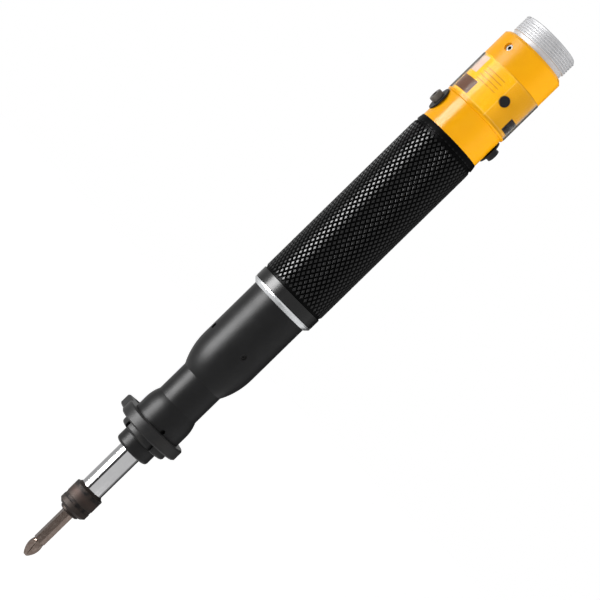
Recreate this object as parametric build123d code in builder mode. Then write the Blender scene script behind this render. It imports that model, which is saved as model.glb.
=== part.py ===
"""Electric torque screwdriver for a fixture, with a telescopic spindle and a quick-change chuck.

The tool's axis is Z, with the bit pointing down and the connector on top. The origin is the centre of the
front face of the mounting flange. All sizes are in millimetres and all angles in degrees.
"""

from build123d import *
from math import acos, cos, degrees, pi, radians, sin, sqrt, tan
import os

os.makedirs("parts", exist_ok=True)

# Fits and allowances
slip_fit = 0.05
running_fit = 0.03
end_float = 0.3
overrun = 1.0

# Power bit with a cross point
bit_length = 50.0
bit_hex = 6.35
bit_exposed = 31.9
bit_point_length = 10.4
bit_point_radius = 3.75
bit_point_widest = 6.2
bit_nose_radius = 1.2
bit_waist_radius = 3.1
bit_flutes = 4
bit_flute_radius = 1.9
bit_flute_offset = 2.8
bit_flute_tilt = 14.0
bit_groove_from_end = 9.5
bit_groove_width = 3.2
bit_groove_radius = 2.75
bit_end_chamfer = 0.5
flats_to_balls = 30.0

# Telescopic spindle, with the chuck's barrel on its front end
spindle_radius = 6.7
spindle_exposed = 28.3
spindle_stroke = 25.0
stop_collar_radius = 8.2
stop_collar_length = 3.0
drive_hex = 8.0
drive_web = 2.0
spindle_spring_wire = 1.2
spindle_spring_turns = 7
spindle_spring_gap = 0.5
barrel_radius = 5.8
barrel_nose_length = 1.8
barrel_nose_chamfer = 0.6
cone_radius = 8.1
cone_length = 1.6

# Chuck sleeve, its lock balls, spring and clip
sleeve_radius = 8.75
sleeve_length = 14.1
sleeve_bevel = 1.5
sleeve_travel = 2.5
sleeve_groove_from_front = 4.5
sleeve_groove_width = 2.1
sleeve_groove_depth = 0.25
sleeve_recess_radius = 7.4
sleeve_recess_depth = 1.2
ball_radius = 1.5
ball_travel = 0.85
chuck_spring_wire = 0.6
chuck_spring_turns = 3
chuck_clip_thickness = 0.8
chuck_clip_depth = 0.5

# Nose: collar, bush, wiper ring, lock nut and mounting flange
lock_nut_length = 4.2
lock_nut_radius = 14.65
lock_nut_rounding = 1.5
lock_nut_notch = 2.3
lock_nut_notch_depth = 1.8
lock_nut_notch_angle = -87.8
lock_nut_notches = 5
collar_gap = 0.6
collar_length = 7.5
collar_radius = 10.6
collar_rounding = 1.9
collar_stem_length = 10.8
collar_bore_radius = 8.0
wiper_length = 1.6
wiper_recess = 0.3
flange_thickness = 7.0
flange_radius = 19.1
flange_edge = 0.8
seat_groove_width = 0.65
seat_groove_depth = 0.4
seat_groove_gap = 0.25
tab_width = 32.6
tab_end_radius = 26.3
tab_hole_radius = 2.25
tab_hole_spacing = 20.0
tab_hole_distance = 19.0

# Gearcase housing, outside and inside
nose_spigot_radius = 10.2
chamber_radius = 8.9
bell_radius = 15.0
bell_straight = 6.6
bell_arc_radius = 21.0
bell_hole_radius = 1.3
bell_hole_depth = 3.0
bell_hole_angle = -92.3
neck_radius = 13.1
neck_length = 18.2
flare_arc_radius = 40.0
gearcase_radius = 17.65
gearcase_length = 37.7
gear_bore_radius = 15.0
gear_bore_setback = 0.6
rear_spigot_length = 7.3
gearcase_screw_count = 4
gearcase_screw_radius = 1.65
gearcase_screw_setback = 6.4
gearcase_screw_sink = 1.0
gearcase_screw_socket = 1.5
gearcase_screw_angle = -90.0

# Output bearings
output_bearing_radius = 11.0
output_bearing_width = 6.0
output_bearing_spacing = 1.5
output_journal_radius = 5.0
bearing_race = 1.6
bearing_shield_sink = 0.3
shaft_shoulder_radius = 7.9
shaft_shoulder_length = 2.0

# Planetary gears, two stages in one ring gear
gear_module = 0.5
sun_teeth = 12
planet_teeth = 18
ring_teeth = 48
planets = 3
pressure_angle = 20.0
addendum_share = 0.85
dedendum_share = 1.2
backlash = 0.05
ring_wall_fit = 0.05
planet_width = 6.0
planet_gap = 0.3
planet_pin_radius = 1.5
carrier_thickness = 3.0
carrier_radius = 10.8
pilot_radius = 1.6
pilot_length = 3.0

# Torque transducer between the ring gear and the motor
transducer_flange = 2.8
transducer_web_radius = 13.6
transducer_wall = 1.0

# Clamp ring and grip
clamp_ring_length = 2.9
clamp_ring_front_radius = 18.0
grip_radius = 20.0
grip_bore_radius = 16.8
grip_length = 121.0
grip_taper_length = 9.5
grip_end_radius = 19.1
grip_front_edge = 0.4

# Motor
motor_plate_thickness = 4.0
motor_wall = 1.2
motor_boss_length = 8.8
stator_inner_radius = 8.3
stator_margin = 10.0
stator_slots = 6
stator_slot_radius = 13.4
stator_slot_inner_radius = 9.4
stator_slot_angle = 34.0
winding_overhang = 5.5
magnet_outer_radius = 7.9
rotor_core_radius = 4.5
rotor_shaft_radius = 2.5
motor_bearing_radius = 6.5
motor_bearing_width = 4.0
rotor_tail_length = 5.0
encoder_magnet_radius = 4.0
encoder_magnet_length = 2.6
encoder_board_radius = 14.0
encoder_board_thickness = 1.2
encoder_board_gap = 7.0
encoder_posts = 3
encoder_post_turn = 35.0
encoder_post_radius = 1.6
encoder_post_circle = 11.4
motor_lead_radius = 0.8
motor_lead_circle = 13.0
motor_lead_spread = 14.0

# Electronics in the back of the grip
electronics_bay = 46.8
board_side_gap = 0.53
board_thickness = 1.6
board_face_radius = 6.0
board_front_gap = 8.0
support_thickness = 3.0
support_terminal_gap = 1.4
support_button_gap = 9.0
support_hole_radius = 2.5
support_rim = 1.2
terminal_width = 13.0
terminal_length = 4.6
terminal_height = 7.6
terminal_button_gap = 0.5
chip_width = 9.0
chip_height = 1.4
chip_gap = 7.0
capacitor_radius = 4.0
capacitor_height = 7.0
capacitor_gap = 3.5
switch_width = 6.0
switch_height = 3.2
switch_knob_radius = 1.5
switch_knob_height = 0.8

# Rear housing with its label tube
rear_spigot_depth = 12.8
rear_spigot_wall = 1.95
band_length = 20.0
band_step = 0.2
bead_length = 1.6
bead_rise = 0.8
label_length = 25.0
label_tube_radius = 18.9
label_tube_wall = 2.7
label_thickness = 0.15
sleeve_wall = 1.0
cap_spigot_step = 0.9
cap_spigot_length = 6.0
seal_section = 1.0

# Function button
button_angle = -93.0
button_from_bead = 12.6
button_radius = 3.0
button_proud = 0.1
button_travel = 0.8
button_collar_radius = 4.3
button_collar_thickness = 1.2
button_collar_gap = 0.8
button_stem_radius = 1.4
button_spring_wire = 0.4
button_spring_turns = 4

# Screws for a hanging bail
bail_screw_from_band = 11.2
bail_screw_angle = -8.0
bail_screw_radius = 2.0
bail_head_radius = 3.7
bail_head_height = 3.2
bail_head_socket = 3.0
bail_head_socket_depth = 1.8
washer_radius = 6.95
washer_thickness = 0.8
washer_sink = 0.1

# Rear cap and its set screw
cap_length = 17.0
cap_step = 0.2
cap_chamfer = 1.5
cap_gap = 0.1
cap_screw_from_front = 9.2
cap_screw_angle = -150.8
cap_screw_radius = 2.0
cap_screw_length = 3.0
cap_screw_mouth = 2.5
cap_screw_mouth_depth = 0.9

# Connector
connector_radius = 17.5
connector_length = 11.3
connector_chamfer = 1.0
connector_neck_radius = 16.9
connector_neck_length = 1.5
connector_stem_radius = 15.5
connector_socket_radius = 15.0
connector_socket_depth = 6.0
insert_radius = 13.5
insert_length = 13.0
contact_count = 8
contact_inner_count = 3
contact_radius = 1.0
contact_bore = 0.6
contact_bore_depth = 8.0
contact_circle = 8.5
contact_inner_circle = 3.6
contact_tail = 1.5
connector_lead_radius = 0.7
connector_lead_circle = 10.5

# Heights along the axis, worked out from the lengths
nut_front = -lock_nut_length
collar_rear = nut_front - collar_gap
collar_front = collar_rear - collar_length
cone_rear = collar_front - spindle_exposed
sleeve_rear = cone_rear - cone_length
sleeve_front = sleeve_rear - sleeve_length
barrel_front = sleeve_front - barrel_nose_length
bit_tip = barrel_front - bit_exposed
bit_rear = bit_tip + bit_length
ball_height = bit_rear - bit_groove_from_end
socket_end = bit_rear + running_fit
drive_bore_end = socket_end + drive_web
drive_front = drive_bore_end + spindle_stroke + overrun
bush_rear = collar_rear + collar_stem_length
stop_front = bush_rear + end_float
spindle_rear = stop_front + stop_collar_length
bell_arc_start = flange_thickness + bell_straight
bell_drop = bell_radius - neck_radius
neck_start = bell_arc_start + sqrt(bell_arc_radius**2 - (bell_arc_radius - bell_drop) ** 2)
flare_start = neck_start + neck_length
flare_rise = gearcase_radius - neck_radius
flare_end = flare_start + sqrt(flare_arc_radius**2 - (flare_arc_radius - flare_rise) ** 2)
gearcase_end = flare_end + gearcase_length
gear_bore_start = flare_end + gear_bore_setback
gearcase_screw_height = flare_end + gearcase_screw_setback
bearing_rear_low = gear_bore_start - output_bearing_width
bearing_front_low = bearing_rear_low - output_bearing_spacing - output_bearing_width
shoulder_rear = bearing_front_low - slip_fit
shoulder_front = shoulder_rear - shaft_shoulder_length
carrier_2_front = gear_bore_start + end_float
carrier_2_rear = carrier_2_front + carrier_thickness
planet_2_low = carrier_2_rear + planet_gap
planet_2_high = planet_2_low + planet_width
carrier_1_front = planet_2_high + 2 * planet_gap
carrier_1_rear = carrier_1_front + carrier_thickness
planet_1_low = carrier_1_rear + planet_gap
planet_1_high = planet_1_low + planet_width
ring_gear_low = carrier_2_rear
ring_gear_high = planet_1_high + 2 * planet_gap
motor_front = gearcase_end + rear_spigot_length
grip_front = gearcase_end + clamp_ring_length
boss_front = motor_front - motor_boss_length
transducer_low = ring_gear_high
transducer_high = boss_front
motor_rear = grip_front + grip_length - electronics_bay
case_front = motor_front + motor_plate_thickness
case_rear = motor_rear - motor_plate_thickness
stator_low = case_front + stator_margin
stator_high = case_rear - stator_margin
motor_bearing_front_low = motor_front - slip_fit
motor_bearing_rear_low = motor_rear - motor_plate_thickness - motor_bearing_width
rotor_rear = motor_rear + rotor_tail_length
encoder_board_low = motor_rear + encoder_board_gap
board_front = encoder_board_low + encoder_board_thickness + board_front_gap
grip_rear = grip_front + grip_length
band_end = grip_rear + band_length
bead_front = band_end - bead_length
label_end = band_end + label_length
cap_front = label_end + cap_gap
cap_rear = cap_front + cap_length
cap_spigot_end = cap_front + cap_spigot_length
connector_front = cap_rear + connector_neck_length
connector_rear = connector_front + connector_length
socket_floor = connector_rear - connector_socket_depth
connector_stem_front = cap_spigot_end + end_float
insert_front = socket_floor - insert_length
button_height = band_end + button_from_bead
board_rear = button_height + button_collar_radius + terminal_button_gap + terminal_length
bail_screw_height = grip_rear + bail_screw_from_band

# Radii and widths worked out from the sizes
rear_spigot_radius = grip_bore_radius - slip_fit
rear_spigot_bore = rear_spigot_radius - rear_spigot_wall
band_radius = label_tube_radius + band_step
bead_radius = band_radius + bead_rise
rear_bore_radius = label_tube_radius - label_tube_wall
clear_sleeve_bore = label_tube_radius + label_thickness + slip_fit
clear_sleeve_radius = clear_sleeve_bore + sleeve_wall
cap_spigot_radius = label_tube_radius - cap_spigot_step
cap_radius = clear_sleeve_radius - cap_step
washer_seat_radius = band_radius - washer_sink
board_bore = min(rear_spigot_bore, rear_bore_radius)
board_width = 2 * (sqrt(board_bore**2 - board_face_radius**2) - board_side_gap)

# Gear radii
sun_pitch_radius = gear_module * sun_teeth / 2
planet_pitch_radius = gear_module * planet_teeth / 2
ring_pitch_radius = gear_module * ring_teeth / 2
planet_circle = sun_pitch_radius + planet_pitch_radius
addendum = gear_module * addendum_share
dedendum = gear_module * dedendum_share
planet_angles = [turn * 360 / planets for turn in range(planets)]

# Angles round the axis
gearcase_screw_angles = [
    gearcase_screw_angle + screw * 360 / gearcase_screw_count for screw in range(gearcase_screw_count)
]
bail_angles = (bail_screw_angle, bail_screw_angle + 180)
lead_angles = [button_angle + step * motor_lead_spread for step in (-1, 0, 1)]
post_angles = [button_angle + encoder_post_turn + post * 360 / encoder_posts for post in range(encoder_posts)]


def radial_plane(angle, radius, height):
    """Return a plane at this radius that faces away from the tool's axis, with its own y along +Z."""
    out = Vector(cos(radians(angle)), sin(radians(angle)), 0)
    side = Vector(-sin(radians(angle)), cos(radians(angle)), 0)
    return Plane(origin=out * radius + Vector(0, 0, height), x_dir=side, z_dir=out)


def turn_profile(points, mode=Mode.ADD):
    """Revolve a closed outline of (radius, height) points round the tool's axis."""
    with BuildSketch(Plane.XZ) as outline:
        with BuildLine():
            Polyline(*points, close=True)
        make_face()
    revolve(outline.sketch, axis=Axis.Z, mode=mode)


def tube(outer, inner, low, high, mode=Mode.ADD):
    """Extrude a ring, or a disc where the inner radius is 0, between two heights."""
    with BuildSketch(Plane.XY.offset(low)) as section:
        Circle(outer)
        if inner > 0:
            Circle(inner, mode=Mode.SUBTRACT)
    extrude(section.sketch, amount=high - low, mode=mode)


def radial_hole(angle, radius, inner, outer, height):
    """Drill a round hole through a wall, from one distance off the axis to another."""
    with BuildSketch(radial_plane(angle, inner, height)) as mouth:
        Circle(radius)
    extrude(mouth.sketch, amount=outer - inner, mode=Mode.SUBTRACT)


def rods(angles, circle, radius, low, high, mode=Mode.ADD):
    """Extrude a round rod, or drill a hole, parallel to the axis at each of these angles."""
    with BuildSketch(Plane.XY.offset(low)) as section:
        for angle in angles:
            with PolarLocations(circle, 1, start_angle=angle):
                Circle(radius)
    extrude(section.sketch, amount=high - low, mode=mode)


def coil_spring(plane, mean_radius, wire_radius, turns, length):
    """Wind a compression spring along a plane's normal, its wire drawn six-sided to keep it light."""
    rise = length - 2 * wire_radius
    start = plane.offset(wire_radius).origin
    with BuildLine() as wire:
        Helix(pitch=rise / turns, height=rise, radius=mean_radius, center=start, direction=plane.z_dir)
    with BuildSketch(Plane(origin=wire.line @ 0, z_dir=wire.line % 0)) as section:
        RegularPolygon(wire_radius, 6)
    sweep(section.sketch, path=wire.line, is_frenet=True)


def tooth_points(teeth, tip_radius, root_radius, thinning):
    """Return the outline of a spur gear as points, each flank as two chords of an involute."""
    pitch_radius = gear_module * teeth / 2
    base_radius = pitch_radius * cos(radians(pressure_angle))
    pitch_half = pi / (2 * teeth) - thinning / pitch_radius

    def half_angle(radius):
        roll = acos(min(1, base_radius / radius))
        start = radians(pressure_angle)
        return pitch_half + (tan(start) - start) - (tan(roll) - roll)

    flank = [(radius, half_angle(radius)) for radius in (root_radius, pitch_radius, tip_radius)]
    points = []
    for tooth in range(teeth):
        centre = 2 * pi * tooth / teeth
        for radius, half in flank:
            points.append((radius * cos(centre - half), radius * sin(centre - half)))
        for radius, half in reversed(flank):
            points.append((radius * cos(centre + half), radius * sin(centre + half)))
    return points


def toothed(teeth, centre, low, high, turned=0.0):
    """Extrude an external gear round a vertical axis."""
    points = tooth_points(
        teeth,
        gear_module * teeth / 2 + addendum,
        gear_module * teeth / 2 - dedendum,
        backlash,
    )
    plane = Plane(origin=(centre[0], centre[1], low)).rotated((0, 0, turned))
    with BuildSketch(plane) as outline:
        with BuildLine():
            Polyline(*points, close=True)
        make_face()
    extrude(outline.sketch, amount=high - low)


def slot_sections(half_angle, inner, outer, mode=Mode.ADD):
    """Draw a four-cornered section for each slot of the stator, inside a sketch."""
    for slot in range(stator_slots):
        middle = slot * 360 / stator_slots
        corners = [
            Vector(radius, 0).rotate(Axis.Z, middle + side * half_angle)
            for radius, side in ((inner, -1), (outer, -1), (outer, 1), (inner, 1))
        ]
        with BuildLine() as outline:
            Polyline(*corners, close=True)
        make_face(outline.edges(), mode=mode)


# Mounting flange: a black steel ring with a relief groove round the nut's seat and an ear with two bolt holes
with BuildPart() as mounting_flange:
    with BuildSketch(Plane.XY):
        Circle(tab_end_radius)
        with Locations((0, tab_end_radius / 2)):
            Rectangle(tab_width, tab_end_radius, mode=Mode.INTERSECT)
        Circle(flange_radius)
        Circle(nose_spigot_radius + slip_fit, mode=Mode.SUBTRACT)
        with Locations((0, tab_hole_distance)):
            with GridLocations(tab_hole_spacing, 0, 2, 1):
                Circle(tab_hole_radius, mode=Mode.SUBTRACT)
    extrude(amount=flange_thickness)
    flat_faces = mounting_flange.faces().filter_by(Axis.Z)
    outer_rims = [edge for face in flat_faces for edge in face.outer_wire().edges()]
    chamfer(outer_rims, length=flange_edge)
    seat_groove_radius = lock_nut_radius + seat_groove_gap
    seat_radius = seat_groove_radius - seat_groove_width
    tube(seat_groove_radius, seat_radius, 0, seat_groove_depth, mode=Mode.SUBTRACT)
mounting_flange.part.label = "mounting_flange"
export_step(mounting_flange.part, "parts/mounting_flange.step")

# Lock nut that clamps the flange on the housing's spigot, turned with a hook spanner
with BuildPart() as flange_lock_nut:
    tube(lock_nut_radius, nose_spigot_radius + slip_fit, nut_front, 0)
    nut_rim = flange_lock_nut.edges().group_by(Axis.Z)[0].sort_by(SortBy.LENGTH)[-1]
    fillet(nut_rim, radius=lock_nut_rounding)
    for notch in range(lock_nut_notches):
        angle = lock_nut_notch_angle + notch * 360 / lock_nut_notches
        notch_floor = lock_nut_radius - lock_nut_notch_depth
        with BuildSketch(radial_plane(angle, notch_floor, nut_front / 2)):
            Rectangle(lock_nut_notch, lock_nut_length + 2 * overrun)
        extrude(amount=lock_nut_notch_depth + overrun, mode=Mode.SUBTRACT)
flange_lock_nut.part.label = "flange_lock_nut"
export_step(flange_lock_nut.part, "parts/flange_lock_nut.step")

# Nose collar: a black cap whose stem sits in the housing's bore and holds the bush
with BuildPart() as nose_collar:
    stem_radius = chamber_radius - slip_fit
    turn_profile(
        [
            (collar_bore_radius, collar_front),
            (collar_radius, collar_front),
            (collar_radius, collar_rear),
            (stem_radius, collar_rear),
            (stem_radius, bush_rear),
            (collar_bore_radius, bush_rear),
        ]
    )
    collar_rim = nose_collar.edges().group_by(Axis.Z)[0].sort_by(SortBy.LENGTH)[-1]
    fillet(collar_rim, radius=collar_rounding)
nose_collar.part.label = "nose_collar"
export_step(nose_collar.part, "parts/nose_collar.step")

# Bronze bush in which the spindle slides and turns
with BuildPart() as spindle_bush:
    wiper_front = collar_front + wiper_recess
    bush_front = wiper_front + wiper_length
    tube(collar_bore_radius, spindle_radius + running_fit, bush_front, bush_rear)
spindle_bush.part.label = "spindle_bush"
export_step(spindle_bush.part, "parts/spindle_bush.step")

# Wiper ring that keeps dirt out of the bush
with BuildPart() as nose_wiper:
    wiper_lip = spindle_radius + slip_fit
    turn_profile(
        [
            (collar_bore_radius, wiper_front),
            (collar_bore_radius, bush_front),
            (wiper_lip + wiper_recess, bush_front),
            (wiper_lip, wiper_front + wiper_recess),
            (wiper_lip, wiper_front),
        ]
    )
nose_wiper.part.label = "nose_wiper"
export_step(nose_wiper.part, "parts/nose_wiper.step")

# Gearcase housing: one machined aluminium casting with a bell, a neck, a flare and the gear cylinder
with BuildPart() as gearcase_housing:
    housing_spigot_radius = grip_bore_radius - slip_fit
    with BuildSketch(Plane.XZ):
        with BuildLine():
            Polyline(
                (neck_radius, flare_start),
                (neck_radius, neck_start),
            )
            TangentArc(
                (bell_radius, bell_arc_start),
                (neck_radius, neck_start),
                tangent=(0, 1),
            )
            Polyline(
                (bell_radius, bell_arc_start),
                (bell_radius, flange_thickness),
                (nose_spigot_radius, flange_thickness),
                (nose_spigot_radius, collar_rear),
                (chamber_radius, collar_rear),
                (chamber_radius, bearing_front_low),
                (output_bearing_radius, bearing_front_low),
                (output_bearing_radius, gear_bore_start),
                (gear_bore_radius, gear_bore_start),
                (gear_bore_radius, motor_front),
                (housing_spigot_radius, motor_front),
                (housing_spigot_radius, gearcase_end),
                (gearcase_radius, gearcase_end),
                (gearcase_radius, flare_end),
            )
            TangentArc(
                (gearcase_radius, flare_end),
                (neck_radius, flare_start),
                tangent=(0, -1),
            )
        make_face()
    revolve(axis=Axis.Z)
    for angle in gearcase_screw_angles:
        hole_end = gearcase_radius + overrun
        radial_hole(angle, gearcase_screw_radius + slip_fit, 0, hole_end, gearcase_screw_height)
    bell_hole_height = flange_thickness + bell_hole_radius
    bell_hole_floor = bell_radius - bell_hole_depth
    radial_hole(bell_hole_angle, bell_hole_radius, bell_hole_floor, bell_radius + overrun, bell_hole_height)
gearcase_housing.part.label = "gearcase_housing"
export_step(gearcase_housing.part, "parts/gearcase_housing.step")

# Set screws that lock the ring gear in the housing
with BuildPart() as gearcase_screws:
    screw_low = gear_bore_radius - ring_wall_fit
    screw_high = gearcase_radius - gearcase_screw_sink
    for angle in gearcase_screw_angles:
        with BuildSketch(radial_plane(angle, screw_low, gearcase_screw_height)):
            Circle(gearcase_screw_radius)
        extrude(amount=screw_high - screw_low)
        with BuildSketch(radial_plane(angle, screw_high, gearcase_screw_height)):
            RegularPolygon(gearcase_screw_socket / 2, 6, major_radius=False)
        extrude(amount=(screw_low - screw_high) / 2, mode=Mode.SUBTRACT)
gearcase_screws.part.label = "gearcase_screws"
export_step(gearcase_screws.part, "parts/gearcase_screws.step")

# Pair of shielded ball bearings that carry the output shaft
with BuildPart() as output_bearings:
    for low in (bearing_front_low, bearing_rear_low):
        high = low + output_bearing_width
        race_outer = output_bearing_radius - bearing_race
        race_inner = output_journal_radius + bearing_race
        turn_profile(
            [
                (output_journal_radius + running_fit, low),
                (race_inner, low),
                (race_inner, low + bearing_shield_sink),
                (race_outer, low + bearing_shield_sink),
                (race_outer, low),
                (output_bearing_radius, low),
                (output_bearing_radius, high),
                (race_outer, high),
                (race_outer, high - bearing_shield_sink),
                (race_inner, high - bearing_shield_sink),
                (race_inner, high),
                (output_journal_radius + running_fit, high),
            ]
        )
output_bearings.part.label = "output_bearings"
export_step(output_bearings.part, "parts/output_bearings.step")

# Ring gear with internal teeth, shared by both planetary stages
with BuildPart() as ring_gear:
    with BuildSketch(Plane.XY.offset(ring_gear_low)):
        Circle(gear_bore_radius - ring_wall_fit)
        with BuildLine():
            Polyline(
                *tooth_points(
                    ring_teeth,
                    ring_pitch_radius + dedendum,
                    ring_pitch_radius - addendum,
                    -backlash,
                ),
                close=True,
            )
        make_face(mode=Mode.SUBTRACT)
    extrude(amount=ring_gear_high - ring_gear_low)
ring_gear.part.label = "ring_gear"
export_step(ring_gear.part, "parts/ring_gear.step")

# Output shaft: hexagonal drive bar, shoulder, bearing journal and second-stage carrier in one
with BuildPart() as output_shaft:
    with BuildSketch(Plane.XY.offset(drive_front)):
        RegularPolygon(drive_hex / 2, 6, major_radius=False)
    extrude(amount=shoulder_front - drive_front)
    tube(shaft_shoulder_radius, 0, shoulder_front, shoulder_rear)
    tube(output_journal_radius, 0, shoulder_rear, carrier_2_front)
    tube(carrier_radius, 0, carrier_2_front, carrier_2_rear)
    pilot_hole = pilot_radius + running_fit
    tube(pilot_hole, 0, carrier_2_rear - pilot_length - end_float, carrier_2_rear, mode=Mode.SUBTRACT)
    pin_seat = carrier_2_rear - carrier_thickness / 2
    rods(planet_angles, planet_circle, planet_pin_radius, pin_seat, carrier_2_rear, mode=Mode.SUBTRACT)
output_shaft.part.label = "output_shaft"
export_step(output_shaft.part, "parts/output_shaft.step")

# First-stage carrier, with the second sun gear on its front
with BuildPart() as first_carrier:
    tube(carrier_radius, 0, carrier_1_front, carrier_1_rear)
    sun_half_pitch = 180 / sun_teeth
    toothed(sun_teeth, (0, 0), carrier_2_rear + planet_gap / 2, carrier_1_front, turned=sun_half_pitch)
    tube(pilot_radius, 0, carrier_2_rear - pilot_length, carrier_1_front)
    tube(pilot_hole, 0, carrier_1_rear - pilot_length - end_float, carrier_1_rear, mode=Mode.SUBTRACT)
    pin_seat = carrier_1_rear - carrier_thickness / 2
    rods(planet_angles, planet_circle, planet_pin_radius, pin_seat, carrier_1_rear, mode=Mode.SUBTRACT)
first_carrier.part.label = "first_carrier"
export_step(first_carrier.part, "parts/first_carrier.step")

# Planet pins, pressed into their carriers
for stage, carrier_rear, high in (
    ("first", carrier_1_rear, planet_1_high),
    ("second", carrier_2_rear, planet_2_high),
):
    with BuildPart() as planet_pins:
        rods(planet_angles, planet_circle, planet_pin_radius, carrier_rear - carrier_thickness / 2, high)
    planet_pins.part.label = f"{stage}_planet_pins"
    export_step(planet_pins.part, f"parts/{stage}_planet_pins.step")

# Planet gears of both stages, each on its own pin
for stage, low, high in (("first", planet_1_low, planet_1_high), ("second", planet_2_low, planet_2_high)):
    for number, angle in enumerate(planet_angles, start=1):
        centre = (planet_circle * cos(radians(angle)), planet_circle * sin(radians(angle)))
        with BuildPart() as planet_gear:
            toothed(planet_teeth, centre, low, high)
            with BuildSketch(Plane.XY.offset(low)):
                with Locations(centre):
                    Circle(planet_pin_radius + running_fit)
            extrude(amount=high - low, mode=Mode.SUBTRACT)
        planet_gear.part.label = f"{stage}_planet_{number}"
        export_step(planet_gear.part, f"parts/{stage}_planet_{number}.step")

# Spindle: a polished round bar with the bit socket in front and the hexagonal drive bore behind
with BuildPart() as spindle:
    clip_rear = sleeve_front + chuck_clip_thickness + slip_fit
    clip_front = sleeve_front + slip_fit
    clip_groove_radius = barrel_radius - chuck_clip_depth
    turn_profile(
        [
            (0, barrel_front),
            (barrel_radius - barrel_nose_chamfer, barrel_front),
            (barrel_radius, barrel_front + barrel_nose_chamfer),
            (barrel_radius, clip_front),
            (clip_groove_radius, clip_front),
            (clip_groove_radius, clip_rear),
            (barrel_radius, clip_rear),
            (barrel_radius, sleeve_rear),
            (cone_radius, sleeve_rear),
            (spindle_radius, cone_rear),
            (spindle_radius, stop_front),
            (stop_collar_radius, stop_front),
            (stop_collar_radius, spindle_rear),
            (0, spindle_rear),
        ]
    )
    with BuildSketch(Plane.XY.offset(barrel_front)):
        RegularPolygon(bit_hex / 2 + running_fit, 6, major_radius=False, rotation=flats_to_balls)
    extrude(amount=socket_end - barrel_front, mode=Mode.SUBTRACT)
    with BuildSketch(Plane.XY.offset(spindle_rear)):
        RegularPolygon(drive_hex / 2 + running_fit, 6, major_radius=False)
    extrude(amount=drive_bore_end - spindle_rear, mode=Mode.SUBTRACT)
    for angle in (0, 180):
        radial_hole(angle, ball_radius + running_fit, 0, barrel_radius + overrun, ball_height)
spindle.part.label = "spindle"
export_step(spindle.part, "parts/spindle.step")

# Power bit: hexagonal shank with a ball groove, and a cross point with four flutes
with BuildPart() as screwdriver_bit:
    point_end = bit_tip + bit_point_length
    with BuildSketch(Plane.XY.offset(point_end)):
        RegularPolygon(bit_hex / 2, 6, major_radius=False, rotation=flats_to_balls)
    extrude(amount=bit_rear - point_end)
    chamfer(screwdriver_bit.edges().group_by(Axis.Z)[-1], length=bit_end_chamfer)
    groove_low = ball_height - bit_groove_width / 2
    tube(bit_hex, bit_groove_radius, groove_low, groove_low + bit_groove_width, mode=Mode.SUBTRACT)
    with BuildSketch(Plane.XZ):
        with BuildLine():
            Polyline(
                (bit_nose_radius, bit_tip),
                (0, bit_tip),
                (0, point_end),
                (bit_waist_radius, point_end),
            )
            Spline(
                (bit_nose_radius, bit_tip),
                (bit_point_radius, bit_tip + bit_point_widest),
                (bit_waist_radius, point_end),
            )
        make_face()
    revolve(axis=Axis.Z)
    for flute in range(bit_flutes):
        angle = radians((flute + 1 / 2) * 360 / bit_flutes)
        lean = radians(bit_flute_tilt)
        outward = Vector(cos(angle), sin(angle), 0)
        along = outward * sin(lean) + Vector(0, 0, cos(lean))
        with BuildSketch(Plane(origin=outward * bit_flute_offset + Vector(0, 0, bit_tip), z_dir=along)):
            Circle(bit_flute_radius)
        extrude(amount=bit_point_length, both=True, mode=Mode.SUBTRACT)
screwdriver_bit.part.label = "screwdriver_bit"
export_step(screwdriver_bit.part, "parts/screwdriver_bit.step")

# Chuck sleeve: its inner cone lets the balls out as the sleeve is pulled forwards
ball_centre = bit_groove_radius + running_fit + ball_radius
cone_slope = ball_travel / sleeve_travel
cone_lift = (ball_radius + running_fit) * sqrt(1 + cone_slope**2)
sleeve_bore = barrel_radius + slip_fit
release_bore = sleeve_bore + 2 * slip_fit + ball_travel
cone_low = ball_height + (sleeve_bore - ball_centre - cone_lift) / cone_slope
cone_high = ball_height + (release_bore - ball_centre - cone_lift) / cone_slope
clip_radius = barrel_radius + slip_fit + ball_travel
chuck_spring_front = clip_rear
chuck_spring_length = cone_low - chuck_spring_wire * 2 - chuck_spring_front
spring_shoulder = chuck_spring_front + chuck_spring_length
with BuildPart() as chuck_sleeve:
    clip_bore = clip_radius + slip_fit
    groove_front = sleeve_front + sleeve_groove_from_front
    groove_rear = groove_front + sleeve_groove_width
    groove_floor = sleeve_radius - sleeve_groove_depth
    recess_front = sleeve_rear - sleeve_recess_depth
    turn_profile(
        [
            (clip_bore, sleeve_front),
            (sleeve_radius - sleeve_bevel, sleeve_front),
            (sleeve_radius, sleeve_front + sleeve_bevel),
            (sleeve_radius, groove_front),
            (groove_floor, groove_front + sleeve_groove_depth),
            (groove_floor, groove_rear - sleeve_groove_depth),
            (sleeve_radius, groove_rear),
            (sleeve_radius, sleeve_rear),
            (sleeve_recess_radius, sleeve_rear),
            (sleeve_recess_radius, recess_front),
            (release_bore, recess_front),
            (release_bore, cone_high),
            (sleeve_bore, cone_low),
            (sleeve_bore, spring_shoulder),
            (clip_bore, spring_shoulder),
        ]
    )
chuck_sleeve.part.label = "chuck_sleeve"
export_step(chuck_sleeve.part, "parts/chuck_sleeve.step")

# Clip on the barrel that carries the chuck spring
with BuildPart() as chuck_clip:
    tube(clip_radius, clip_groove_radius, clip_front, clip_rear - slip_fit)
chuck_clip.part.label = "chuck_clip"
export_step(chuck_clip.part, "parts/chuck_clip.step")

# Chuck spring that pushes the sleeve back
with BuildPart() as chuck_spring:
    coil_spring(
        Plane(origin=(0, 0, chuck_spring_front)),
        (sleeve_bore + clip_bore) / 2,
        chuck_spring_wire / 2,
        chuck_spring_turns,
        chuck_spring_length,
    )
chuck_spring.part.label = "chuck_spring"
export_step(chuck_spring.part, "parts/chuck_spring.step")

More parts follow.
